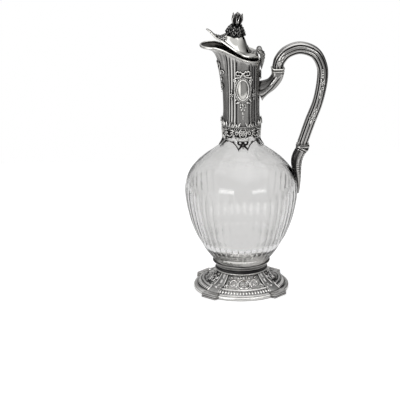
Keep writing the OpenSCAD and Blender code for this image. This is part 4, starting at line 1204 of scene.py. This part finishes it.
def fromCrown(angle, r):
    # x and y round the finial's axis; the angle is measured from the spout
    return -lid["crownX"] - r * np.cos(angle), r * np.sin(angle)


def lidAway(angle, rise=0):
    # which way is out from the finial's axis, and up if it rises, on the opened lid
    tip, base = lidPose(*fromCrown(angle, 1), rise), lidPose(*fromCrown(angle, 0), 0)
    return [a - b for a, b in zip(tip, base)]


def farSide(c, r, angle):
    # distance to the far side of a circle of radius r whose middle is c away
    b = c * np.cos(angle)
    return b + np.sqrt(np.maximum(0, r * r - c * c + b * b))


def lidReach(angle, more=0.0):
    # plan of the lid, seen from the crown: a round back, straight sides and the beak
    back, beak = mouth["backR"] + lid["over"] + more, lid["beakR"] + lid["over"] + more
    reach, crownX = lid["beakReach"], lid["crownX"]
    b = np.abs(angle)
    tangent = pi / 2 - asin((back - beak) / reach)
    side = (back - crownX * cos(tangent)) / np.maximum(0.05, np.cos(b - tangent))
    x = crownX + side * np.cos(b)
    roundBack, roundBeak = farSide(-crownX, back, b), farSide(reach - crownX, beak, b)
    edge = np.where((b > radians(140)) | (x < back * cos(tangent)), roundBack,
                    np.where((b < radians(10)) | (x > reach + beak * cos(tangent)), roundBeak, side))
    cut = (crownX + lid["backX"] + more) / np.maximum(0.01, -np.cos(b))
    return np.minimum(np.where(b > pi / 2 + 0.01, cut, 1000), edge)


crownZ = rimZ(-lid["crownX"]) + mouth["wireR"] + lid["gap"] + lid["edge"] + lid["crownH"]


def lidLowZ(x):
    rise = 2.4 * ease((x - 1) / 14) + lid["beakRise"] * ease((3 - x - lid["beakReach"]) / 8)
    return rimZ(x) + mouth["wireR"] + lid["gap"] + rise


def lidHeight(x, y):
    # a dome, with the beak running out from its foot
    dx = -lid["crownX"] - x
    u = np.minimum(1, np.hypot(dx, y) / np.minimum(lid["domeR"], lidReach(np.arctan2(y, dx))))
    edge = lidLowZ(x) + lid["edge"] + 0.9 * (1 - u * u)
    return lerp(crownZ - 1.2 * u * u, edge, ease((u - 0.32) / 0.58))


def makeLid():
    # rows run from the crown to the edge, down the edge band, and back along the inside
    top = np.concatenate([np.linspace(0, 0.3, 8), np.linspace(0.32, 1, 62)])
    band = 6
    back = np.linspace(0.93, 0, 26)
    rows = len(top) + band + len(back) - 1
    deep = {}

    def place(u, v):
        row = np.round(v * rows).astype(int)
        angle = (u - 0.5) * 2 * pi
        around = np.abs(angle)
        onTop, onBack = row < len(top), row >= len(top) + band
        share = np.where(onTop, top[np.minimum(row, len(top) - 1)], 1.0)
        share = np.where(onBack, back[np.clip(row - len(top) - band, 0, len(back) - 1)], share)
        r = share * np.where(onBack, lidReach(angle, -1.5), lidReach(angle))
        x, y = fromCrown(angle, r)
        z = lidHeight(*fromCrown(angle, share * lidReach(angle)))
        beak = ease((radians(30) - around) / radians(8)) * ease((share - 0.62) / 0.12)
        ribs = np.cos(angle / radians(84) * lid["ribs"] * 2 * pi)
        ribsEnd = ease((0.965 - share) / 0.03)
        line = bump(share, 0.955, 0.011)
        lift = lid["ribLift"] * ribs * beak * ribsEnd - 0.3 * line + 0.25 * bump(share, 0.985, 0.012)
        tip = lid["tipLift"] * ease((share - 0.84) / 0.16) * ease((radians(16) - around) / radians(14))
        spike = ease((share - 0.9) / 0.1) * ease((radians(6) - around) / radians(6))
        # the edge band goes out, down and in
        down = unit((row - len(top) + 1) / band)
        z = np.where(onTop, z + lift, np.where(onBack, z - lid["sheet"], lerp(z, lidLowZ(x), down ** 0.8)))
        bulge = 0.35 * np.sin(pi * down) - 1.2 * ease((down - 0.7) / 0.3)
        x, y = fromCrown(angle, r + np.where(onTop | onBack, 0, bulge) + spike * lid["spike"])
        between = 0.5 - 0.5 * ribs
        sides = ease((radians(52) - around) / radians(22))
        offTop = np.where(onBack, 0.35, 0.15 + sides * (0.38 + 0.35 * between))
        deep["patinaAndShade"] = np.where(onTop, beak * between * 0.55 * ribsEnd + line * 0.9 + spike, offTop)
        return lidPose(x, y, z + tip + spike * lid["spike"] * 0.55)

    piece = wrapGrid("lidShell", lid["columns"], rows, place)
    markPatinaAndShade(piece, deep["patinaAndShade"])
    weldAndFace(piece)
    smoothShade(piece, 50)
    dress(piece, "lid", [bright], ["lid_shell"])


makeLid()


def leafSheet(name, place, lobes=5, across=18, along=44, ridge=0.7, paintedShade=0.0):
    # a chased leaf: q runs -1 to 1 across, v runs 0 to 1 along; place(q, v, lift, width) puts it on its bed
    deep = {}

    def lay(u, v):
        q = u * 2 - 1
        side = np.abs(q)
        scallop = 1 - 0.2 * (1 - np.abs(np.sin(pi * (lobes * v + 0.15)))) ** 1.5
        width = np.clip(np.sin(pi * np.clip(0.1 + 0.9 * v, 0, 1) ** 0.75), 0.02, 1) ** 0.65 * scallop
        vein = np.cos(2 * pi * (lobes * v - 0.75 * side))
        lift = ridge * (bump(q, 0, 0.16) * 0.8 + 0.32 * vein * (1 - side) + 0.35 * (1 - q * q))
        shade = 0.42 - 0.42 * vein * ease((1 - side) * 3) + 0.75 * bump(side, 0.26, 0.1) - bump(q, 0, 0.14)
        # the veins' shading and the even darkening given by the caller are painted shade
        deep["patinaAndShade"] = paintedShade + unit(shade)
        return place(q, v, lift, width)

    piece = wrapGrid(name, across, along, lay)
    markPatinaAndShade(piece, deep["patinaAndShade"])
    return piece


def closeLeaf(piece, outward, wall):
    # the wall goes away from the side that faces out
    if readFaces(piece, "normal").mean(0) @ np.array(outward) < 0:
        flipFaces(piece)
    solidWall(piece, wall)
    smoothShade(piece, 60)
    return piece


beakLeaves = [dict(start=17.6, length=10.6, half=3.4, aside=0, swing=0, lobes=4, lift=0.9),
              dict(start=16.2, length=10.0, half=2.5, aside=6.4, swing=1.6, lobes=4, lift=0.3),
              dict(start=16.2, length=10.0, half=2.5, aside=-6.4, swing=-1.6, lobes=4, lift=0.3)]


def makeBeakLeaves():
    pieces = []
    for leaf in beakLeaves:
        def place(q, v, lift, width, leaf=leaf):
            x = -leaf["start"] - v * leaf["length"]
            y = leaf["aside"] * (1 - 0.35 * v) + leaf["swing"] * v + q * leaf["half"] * width
            return lidPose(x, y, lidHeight(x, y) + leaf["lift"] + lift * (1 - 0.3 * v))
        pieces.append(closeLeaf(leafSheet("leaf", place, leaf["lobes"]), (-0.2, 0, 1), 0.45))
    dress(joinAs(pieces, "beakLeaves"), "lid", [shadowed], ["beak_leaf"])


makeBeakLeaves()

# Finial. Lines round its axis hold rows of (share, radius, height over the crown).
calyx = dict(leaves=8, half=3.9, coreH=9.2, coreFold=0.5,
             droop=[(0, 2.9, 9.2), (0.14, 4.6, 8.4), (0.32, 6.4, 7.0), (0.52, 8.0, 5.0), (0.72, 9.1, 2.9),
                    (0.88, 9.9, 1.2), (1, 10.6, 0.9)],
             coreAt=[0, 0.06, 0.2, 0.45, 0.75, 0.97, 1], coreR=[0, 2.6, 5.0, 7.2, 8.7, 9.5, 9.6])
collarLeaves = dict(count=8, half=1.9, rise=[(0, 2.4, 7.9), (0.35, 3.6, 9.2), (0.7, 4.7, 9.9), (1, 5.5, 9.5)])


def crownPlace(angle, r, z):
    # a place round the finial's axis; nothing sinks into the lid
    x, y = fromCrown(angle, r)
    return lidPose(x, y, np.maximum(crownZ + z, lidHeight(x, y) + 0.35))


def makeCalyx():
    pieces = []
    for i in range(calyx["leaves"]):
        turn = 2 * pi * (i + 0.5) / calyx["leaves"]

        def place(q, v, lift, width, turn=turn):
            r, z = through(calyx["droop"], v, 1), through(calyx["droop"], v, 2)
            half = np.minimum(calyx["half"] * width, r * 0.42)
            angle = turn + q * half / np.maximum(r, 2)
            return crownPlace(angle, r + lift * 0.35, z + lift * 0.8 - 1.1 * q * q * ease(v * 2))
        pieces.append(closeLeaf(leafSheet("leaf", place, 4, 16, 40, 1.1, paintedShade=0.22), lidAway(turn, 1.5), 0.5))
    for i in range(collarLeaves["count"]):
        turn = 2 * pi * i / collarLeaves["count"]

        def place(q, v, lift, width, turn=turn):
            r, z = through(collarLeaves["rise"], v, 1), through(collarLeaves["rise"], v, 2)
            return crownPlace(turn + q * collarLeaves["half"] * width / r, r + lift * 0.3, z + lift * 0.4)
        pieces.append(closeLeaf(leafSheet("leaf", place, 3, 12, 20, 0.6, paintedShade=0.3), (0.2, 0, 1), 0.4))

    def placeCore(u, v):
        r = np.interp(v, calyx["coreAt"], calyx["coreR"])
        r = r - calyx["coreFold"] * (0.5 + 0.5 * np.cos(calyx["leaves"] * 2 * pi * u)) * ease(v * 3)
        return crownPlace(2 * pi * u, r, calyx["coreH"] * (1 - v) - 0.4)

    core = wrapGrid("core", 64, 24, placeCore)
    markEvenly(core, 0.85)
    faceOut(core)
    solidWall(core, 0.4)
    smoothShade(core, 50)
    dress(joinAs(pieces + [core], "finialCalyx"), "lid", [shadowed], ["finial_calyx"])


makeCalyx()

bud = dict(height=13, low=9.1, petals=5, share=0.9, edge=0.55,
           core=[(0, 2.2), (0.1, 3.4), (0.25, 4.3), (0.45, 4.6), (0.65, 4.2), (0.82, 3.1), (0.93, 1.8),
                 (1, 0.2)],
           petal=[(0, 2.6), (0.12, 3.9), (0.3, 4.9), (0.5, 5.3), (0.7, 5.0), (0.88, 4.7), (1, 5.0)])


def makeBud():
    pieces = []
    columns = 20
    for i in range(bud["petals"]):
        turn = 2 * pi * (i + 0.27) / bud["petals"]

        def place(u, v, turn=turn):
            q = u * 2 - 1
            wide = 0.6 * np.sqrt(np.maximum(0.0004, 1 - v ** 2.2)) * (0.62 + 0.38 * np.sin(pi * v ** 0.8))
            edge = bud["edge"] * bump(np.abs(q), 0.9, 0.16)
            r = through(bud["petal"], v) + edge - 0.3 * bump(q, 0, 0.3) * v
            return crownPlace(turn + q * wide, r, bud["low"] + v * bud["height"] * bud["share"])

        petal = wrapGrid("petal", columns, 30, place)
        q = np.arange(len(petal.data.vertices)) % (columns + 1) / (columns / 2) - 1
        markPatinaAndShade(petal, 1.05 - 1.3 * bump(np.abs(q), 0.92, 0.2))
        pieces.append(closeLeaf(petal, lidAway(turn), 0.4))

    def placeCore(u, v):
        r = np.where(v * (1 - v) < 1e-9, 0, through(bud["core"], v))
        r = r * (1 - 0.1 * bump((u * bud["petals"]) % 1, 0.5, 0.12))
        return crownPlace(2 * pi * u, r, bud["low"] + v * bud["height"] * 0.985)

    core = wrapGrid("core", 60, 24, placeCore)
    markEvenly(core, 0.75)
    weldAndFace(core)
    smoothShade(core, 60)
    dress(joinAs(pieces + [core], "finialBud"), "lid", [chased], ["finial_bud"])


makeBud()
print("lid and finial are raised")


# Hinge. Its lines are (x, z) from the pin's middle.

hinge = dict(pinR=0.9, headR=1.4, boreR=1.05, knuckleR=2.7, lidKnuckle=5.2, ear=3.6, earY=2.95, bracketY=6.4,
             backLine=[(2.7, 0), (4.1, -3.2), (4.3, -6), (3.9, -9), (3.2, -12), (2.3, -15), (1.6, -18)],
             cheekFront=[(1.2, -12), (1.2, -9), (0.2, -5)],
             bracket=[(1.1, -7.8), (4.2, -7.8), (3.7, -10.5), (3.0, -13), (2.2, -15.6), (1.6, -18),
                      (1.0, -18), (1.1, -12)])


def atPin(points):
    return [(lid["pinX"] + x, lid["pinZ"] + z) for x, z in points]


def alongPin(name, radius, width, y, grooves=(), bore=0.0):
    # a turned knuckle: a cylinder on the pin's line with rounded ends, fine grooves and a bore
    hole = bore / radius
    back = [0] if bore else []
    ends = [0, 0, 0.02, 0.06, 0.1, 0.5, 0.9, 0.94, 0.98, 1, 1] + back
    rims = [hole, 0.86, 0.93, 0.98, 1, 1, 1, 0.98, 0.93, 0.86, hole] + [hole] * len(back)
    rows = 4 * (len(ends) - 1)
    stations = np.linspace(0, rows, len(ends))

    def place(u, v):
        t = np.interp(v * rows, stations, ends)
        r = radius * np.interp(v * rows, stations, rims)
        for groove in grooves:
            r = r - 0.22 * bump(t, groove, 0.035) * (r > 0.5 * radius)
        return lid["pinX"] + r * np.cos(2 * pi * u), y + width * t, lid["pinZ"] + r * np.sin(2 * pi * u)

    piece = wrapGrid(name, 40, rows, place)
    weldAndFace(piece)
    smoothShade(piece, 50)
    return piece


def plate(name, outline, y0, y1, edge):
    # a flat outline in the XZ plane, pushed out to a thickness along Y
    letGo()
    bpy.ops.mesh.primitive_circle_add(vertices=len(outline), radius=0.01, fill_type="NGON")
    piece = bpy.context.object
    piece.name = name
    points = np.array(outline, float)
    writePoints(piece, points[:, 0], points[:, 0] * 0 + y0, points[:, 1])
    editAll(piece)
    bpy.ops.mesh.extrude_region_move(TRANSFORM_OT_translate={"value": (0, (y1 - y0) * mm, 0)})
    leaveEdit()
    weldAndFace(piece)
    softEdge(piece, edge, 3, 40)
    smoothShade(piece, 40)
    return piece


def scrollWire(name, x, z, r0, r1, start, turn, y, w0, w1):
    # a small volute of round wire that lies in the XZ plane
    def place(u, v):
        a, b = radians(start) + radians(turn) * v, 2 * pi * u
        thick = lerp(w0, w1, v) * np.sqrt(np.maximum(0, 1 - np.abs(2 * unit(v) - 1) ** 12))
        r = lerp(r0, r1, v) + thick * np.cos(b)
        return x + r * np.cos(a), y + thick * np.sin(b), z + r * np.sin(a)

    piece = wrapGrid(name, 10, 60, place)
    weldAndFace(piece)
    smoothShade(piece, 60)
    return piece


def makeBracket():
    x, z, r = lid["pinX"], lid["pinZ"], hinge["knuckleR"]
    backLine = atPin(hinge["backLine"])
    cheek = atPin([(0, -r), (r - 0.2, -0.6)]) + backLine[1:5] + atPin(hinge["cheekFront"])
    parts = []
    for side in (1, -1):
        y0, y1 = sorted([side * hinge["earY"], side * (hinge["earY"] + hinge["ear"])])
        parts.append(alongPin("ear", r, y1 - y0, y0, (0.28, 0.72), hinge["boreR"]))
        parts.append(plate("cheek", cheek, y0, y1, 0.35))
        parts.append(scrollWire("volute", x + 2.7, z - 4.6, 1.9, 0.3, 100, -560, side * 6.45, 0.45, 0.3))
        parts.append(scrollWire("volute", x + 2.4, z - 9.4, 1.5, 0.3, -80, 500, side * 6.35, 0.4, 0.25))
    parts.append(plate("bracket", atPin(hinge["bracket"]), -hinge["bracketY"], hinge["bracketY"], 0.35))
    downLine = [(-height, out) for out, height in backLine]

    def placeLeaf(q, v, lift, width):
        height = z - 1.2 - v * 17.6
        return through(downLine, -height) + 0.15 + lift, q * 5.6 * width, height

    parts.append(closeLeaf(leafSheet("leaf", placeLeaf, 5, 18, 44, 0.75, paintedShade=0.2), (1, 0, 0), 0.4))
    # painted shade: the ears, cheeks, volutes and bracket are darkened evenly
    for part in parts[:-1]:
        markEvenly(part, 0.3)
    dress(joinAs(parts, "hingeBracket"), "jug", [shadowed], ["hinge_bracket"])


def makePin():
    end = hinge["earY"] + hinge["ear"]
    parts = [alongPin("pin", hinge["pinR"], 2 * end + 0.6, -end - 0.3)]
    parts += [alongPin("pin", hinge["headR"], 0.8, y) for y in (end + 0.15, -end - 0.95)]
    dress(joinAs(parts, "hingePin"), "jug", [bright], ["hinge_pin"])


def makeStrap():
    x, z, r = lid["pinX"], lid["pinZ"], hinge["knuckleR"]
    width = hinge["lidKnuckle"]
    knuckle = alongPin("knuckle", r, width, -width / 2, (0.2, 0.5, 0.8), hinge["boreR"])

    def place(q, v, lift, width):
        out = lerp(x - 0.4, 6.0, v)
        y = q * lerp(2.55, 5.2, np.sin(pi * unit(v * 0.95)) ** 0.8) * np.where(v > 0.72, width * 1.15, 1)
        height = lerp(z + r - 0.5, lidHeight(out, y * 0.6) + 0.45, ease(v * 2.4))
        return lidPose(out, y, np.maximum(height, lidHeight(out, y) + 0.3) + lift * ease(v * 3))

    strap = closeLeaf(leafSheet("strap", place, 4, 16, 40, 0.55), (0, 0, 1), 0.7)
    markEvenly(knuckle, 0)
    dress(joinAs([strap, knuckle], "hingeStrap"), "lid", [antique], ["hinge_strap"])


makeBracket()
makePin()
makeStrap()
print("hinge is pinned")


# Handle. Its lines hold rows of (station, x, z, depth, width).

archLine = [(0, 36.4, 229.1, 10.8, 12.4), (0.12, 36.4, 230.2, 10.8, 12.4), (1, 38.6, 236.8, 11.2, 12.4),
            (2, 45.8, 244.6, 11.6, 12.4), (3, 58.7, 248.4, 12, 12.4), (4, 72.8, 243.2, 11.6, 12.4),
            (5, 80, 230.8, 11, 12.4), (6, 81, 216.4, 10.8, 12), (7, 76.73, 192.9, 10.2, 11.4),
            (8, 68.97, 172.0, 10.4, 11.2), (9, 62.57, 153.2, 10.2, 11), (9.24, 61.6, 150.5, 10.2, 11),
            (9.4, 61.6, 149.2, 10.2, 11)]
socketLine = [(0, 16.4, 205.4, 23, 11), (1, 21.7, 207.6, 16, 11.6), (2, 29.7, 211.8, 12.2, 12),
              (3, 34.9, 218, 11.6, 12.4), (4, 36.4, 223.2, 12.2, 12.8), (5, 36.4, 224.5, 12.4, 12.8)]
knuckleLine = [(0, 61.6, 149.1, 12.2, 12.6), (0.5, 61.6, 147.4, 13.0, 13.0), (1, 61.5, 145.6, 13.2, 13.2),
               (2, 60, 142.4, 11.2, 12.4)]
leafLine = [(0, 60, 142.3, 10.6, 12), (1, 56.9, 136.1, 11, 12.4),
            (2, float(glassR(128.7)) + 9.1, 128.7, 10.6, 13.2),
            (3, float(glassR(116.9)) + 2.3, 116.9, 7.6, 12.4),
            (4, float(glassR(106.5)) + 0.8, 106.5, 4.6, 8.4), (5, float(glassR(97)) + 0.9, 97, 2.4, 2.4)]
reeding = dict(groove=0.85, sideGrooves=((0.6, 0.15), (0.0, 0.07), (-0.6, 0.13)), outerWaves=2.6)


def sweep(name, line, rings, around, chase, hug=False):
    # a bar of squarish section along a line; chase gives its growth both ways across and its patina and
    # painted shade
    deep = {}

    def place(u, v):
        s = unit((v * rings - 1) / (rings - 2)) * line[-1][0]
        dx, dz = alongLine(line, s)
        depth, width = through(line, s, 3), through(line, s, 4)
        px, py = squared(2 * pi * u, 0.66)
        growX, growY, deep["patinaAndShade"] = chase(px, py, v, depth, width)
        ends = (v <= 1e-6) | (v >= 1 - 1e-6)
        across, y = np.where(ends, 0, px * depth / 2 * growX), np.where(ends, 0, py * width / 2 * growY)
        x, z = through(line, s, 1) + across * dz, through(line, s, 2) - across * dx
        if hug:      # it stays outside the glass
            r, least = np.hypot(x, y), glassR(z) + 0.3
            push = np.where(r < least, least / np.maximum(r, 1), 1)
            x, y = x * push, y * push
        return x, y, z

    piece = wrapGrid(name, around, rings, place)
    markPatinaAndShade(piece, deep["patinaAndShade"])
    weldAndFace(piece)
    smoothShade(piece, 50)
    return piece


def archChase(px, py, v, depth, width):
    # grooves on the two side faces, on the outer and inner face, and at the corners
    onSides = sum(bump(px, at, wide) for at, wide in reeding["sideGrooves"]) * (np.abs(py) > 0.7)
    onFaces = bump(np.abs(py), 0.36, 0.07) * (np.abs(px) > 0.7)
    corners = bump(np.abs(px), 0.88, 0.05) * bump(np.abs(py), 0.88, 0.1)
    # the outer face is darker in waves along the arch
    outer = 0.45 * ease((-px - 0.75) / 0.2) * (0.5 + 0.5 * np.cos(2 * pi * (v * reeding["outerWaves"] - 0.25)))
    patinaAndShade = np.maximum(np.maximum(onSides, onFaces * 0.9), corners * 0.5) * 1.1 + outer
    return 1 - onFaces * reeding["groove"] * 1.4 / depth, 1 - onSides * reeding["groove"] * 2 / width, patinaAndShade


def knuckleChase(px, py, v, depth, width):
    rise = np.cos(v * 3 * 2 * pi)
    grow = 1 + 0.035 * rise
    return grow, grow, unit(0.5 - 0.9 * rise) * 0.9


def socketChase(px, py, v, depth, width):
    # a beaded rib that winds along each side face, with a line on both sides of it
    side = ease((np.abs(py) - 0.35) / 0.3)
    middle = 0.1 + 0.25 * np.sin(2 * pi * v * 1.4)
    rib = bump(px, middle, 0.15) * side * (0.8 + 0.2 * np.cos(2 * pi * v * 14))
    lines = (bump(px - middle, 0.32, 0.09) + bump(px - middle, -0.36, 0.12)) * side
    fade = ease((0.78 - v) / 0.2)
    grow = 1 + (0.6 * rib - 0.4 * lines) * fade / 6
    # painted shade: the top face is darker than the rest
    return grow, grow, unit(0.2 + 0.5 * ease((-0.35 - px) / 0.3) + 0.9 * lines - 1.2 * rib) * fade


def leafChase(px, py, v, depth, width):
    # a beaded rib and a line on each side face, and veins on the outer face
    side = ease((np.abs(py) - 0.35) / 0.3)
    out = -px
    rib = bump(out - 0.3 * v, 0.05, 0.17) * side * (0.75 + 0.25 * np.cos(2 * pi * v * 26))
    line = bump(out - 0.2 * v, 0.5, 0.09) * side
    inner = ease((-0.1 + 0.3 * v - out) / 0.25)
    face = ease((out - 0.6) / 0.25)
    vein = np.cos(2 * pi * (v * 13 - 0.9 * np.abs(py)))
    middle = bump(py, 0, 0.13)
    grow = 1 + (0.5 * rib - 0.35 * line + face * (0.2 * vein * (1 - np.abs(py)) + 0.45 * middle)) / 6
    # painted shade on the inner side, towards the glass
    shade = 0.1 + 0.75 * inner - 1.2 * rib + 0.85 * line + face * (0.35 - 0.4 * vein - 0.6 * middle)
    return grow, grow, unit(shade)


def onHandle(line, side):
    # t is the length along the handle's middle line, s runs across its side face
    stations = np.linspace(0, line[-1][0], 900)
    x, z = through(line, stations, 1), through(line, stations, 2)
    run = np.concatenate([[0], np.cumsum(np.hypot(np.diff(x), np.diff(z)))])

    def place(s, t, height):
        at = np.interp(t, run, stations)
        dx, dz = alongLine(line, at)
        y = through(line, at, 4) / 2 - 0.015 * s ** 2 + 0.1 + height
        return through(line, at, 1) + s * dz, side * y, through(line, at, 2) - s * dx
    return place


# Husks on the side faces of the arch; y is the length from its top end.
middleHusks = rosette(0.2, 80, 5, 2.7, 0.95, 18, 1.2) + [
    dot(0.1, 66.4, 0.8), dot(0.2, 68.6, 0.95), dot(0.3, 71.2, 1.1), dot(0.2, 74.2, 1.2),
    drop(1.4, 75.6, 80, 3.6, 0.9), drop(-1.2, 75.6, 100, 3.6, 0.9),
    curl(-0.6, 85.4, 1.8, 0.4, 60, 400, 0.6, 0.4), drop(0.8, 87.2, 100, 5.4, 1.2),
    drop(0, 92.6, 90, 4.6, 1.0)]
lowHusks = mirrored([
    curl(2.0, 118, 1.7, 0.4, 200, -380, 0.5, 0.3), drop(0.9, 113.5, 100, 4.2, 0.7),
    drop(1.2, 108.8, 95, 3.6, 0.6)])
lowHusks += [drop(0, 124.2, -90, 5.4, 1.1), dot(0, 118.2, 0.75), dot(0, 116.2, 0.65),
             drop(0, 115.0, -90, 4.6, 0.9), drop(0, 110.0, -90, 4.0, 0.7)]
topHusks = mirrored([drop(0.7, 3.2, 75, 4.6, 0.8), drop(1.2, 7.2, 85, 3.8, 0.6)])
topHusks += [drop(0, 2.4, 90, 6.5, 1.2), dot(0, 9.6, 0.6), drop(0, 10.4, 90, 4.6, 0.8)]
huskGroups = [dict(strokes=middleHusks, ends=(65, 98), half=3.4),
              dict(strokes=lowHusks, ends=(104, 124.5), half=4.4),
              dict(strokes=topHusks, ends=(1, 16), half=3.2)]


def makeHusks():
    pieces = []
    for side in (1, -1):
        place = onHandle(archLine, side)
        for group in huskGroups:
            piece, s, t, raised = cutSheet("husks", (-group["half"], group["half"]), group["ends"],
                                           group["strokes"], 0.2)
            writePoints(piece, *place(s, t, raised * 0.75 - 0.05))
            markPatinaAndShade(piece, recessUnder(raised))
            pieces.append(closeLeaf(piece, (0, side, 0), 0.6))
    dress(joinAs(pieces, "handleHusks"), "jug", [chased])


dress(sweep("handleArch", archLine, 330, 108, archChase), "jug", [drawnSilver],
      ["handle_arch"])
makeHusks()
dress(sweep("handleKnuckle", knuckleLine, 60, 72, knuckleChase), "jug", [drawnSilver],
      ["handle_knuckle"])
dress(sweep("handleSocket", socketLine, 90, 80, socketChase), "jug", [drawnSilver],
      ["handle_socket"])
dress(sweep("handleLeaf", leafLine, 150, 72, leafChase, hug=True), "jug", [drawnSilver],
      ["handle_leaf"])

# The collar's layers are (share of its height, growth).
collar = dict(x=36.4, z=224.6, height=4.4, depth=11, width=12, columns=80, rows=40, groove=0.49, layers=[
    (0, 0.90), (0.02, 1.05), (0.12, 1.16), (0.26, 1.18), (0.36, 1.1), (0.42, 0.96), (0.5, 0.93), (0.57, 0.98),
    (0.62, 1.16), (0.74, 1.25), (0.88, 1.24), (0.98, 1.12), (1, 0.95)])


def makeCollar():
    def place(u, v):
        t = unit((v * collar["rows"] - 1) / (collar["rows"] - 2))
        px, py = squared(2 * pi * u, 0.55)
        ends = (v <= 1e-6) | (v >= 1 - 1e-6)
        grow = np.where(ends, 0, through(collar["layers"], t))
        x, y = px * collar["depth"] / 2 * grow, py * collar["width"] / 2 * grow
        return collar["x"] + x, y, collar["z"] + t * collar["height"]

    piece = wrapGrid("handleCollar", collar["columns"], collar["rows"], place)
    share = (readPoints(piece)[:, 2] / mm - collar["z"]) / collar["height"]
    markPatinaAndShade(piece, bump(share, collar["groove"], 0.08))
    weldAndFace(piece)
    smoothShade(piece, 45)
    dress(piece, "jug", [bright], ["handle_collar"])


makeCollar()
print("handle is set")


# Ribbed shell between the hinge and the handle.

palmette = dict(low=217.4, high=227.6, half=7.6, ribs=(0, 17, -17, 34, -34, 52, -52), ribLength=8.4)


def makePalmette():
    low = palmette["low"]
    strokes = [drop(0, low + 1.6, 90 + turn, palmette["ribLength"] - abs(turn) * 0.03, 1.25)
               for turn in palmette["ribs"]]
    strokes += mirrored([curl(2.6, low + 1.8, 1.3, 0.3, 180, -380, 0.5, 0.3),
                         drop(0.6, low + 1.0, 5, 5.2, 0.7)])
    strokes += [dot(0, low + 1.6, 1.1, 1.3)]
    piece = castOrnament("backPalmette", (-palmette["half"], palmette["half"]), (low, palmette["high"]),
                         strokes, onCasing(180, 0.5), rise=1.1, wall=0.8)
    dress(piece, "jug", [chased], ["back_palmette"])


makePalmette()
print("shell is set")
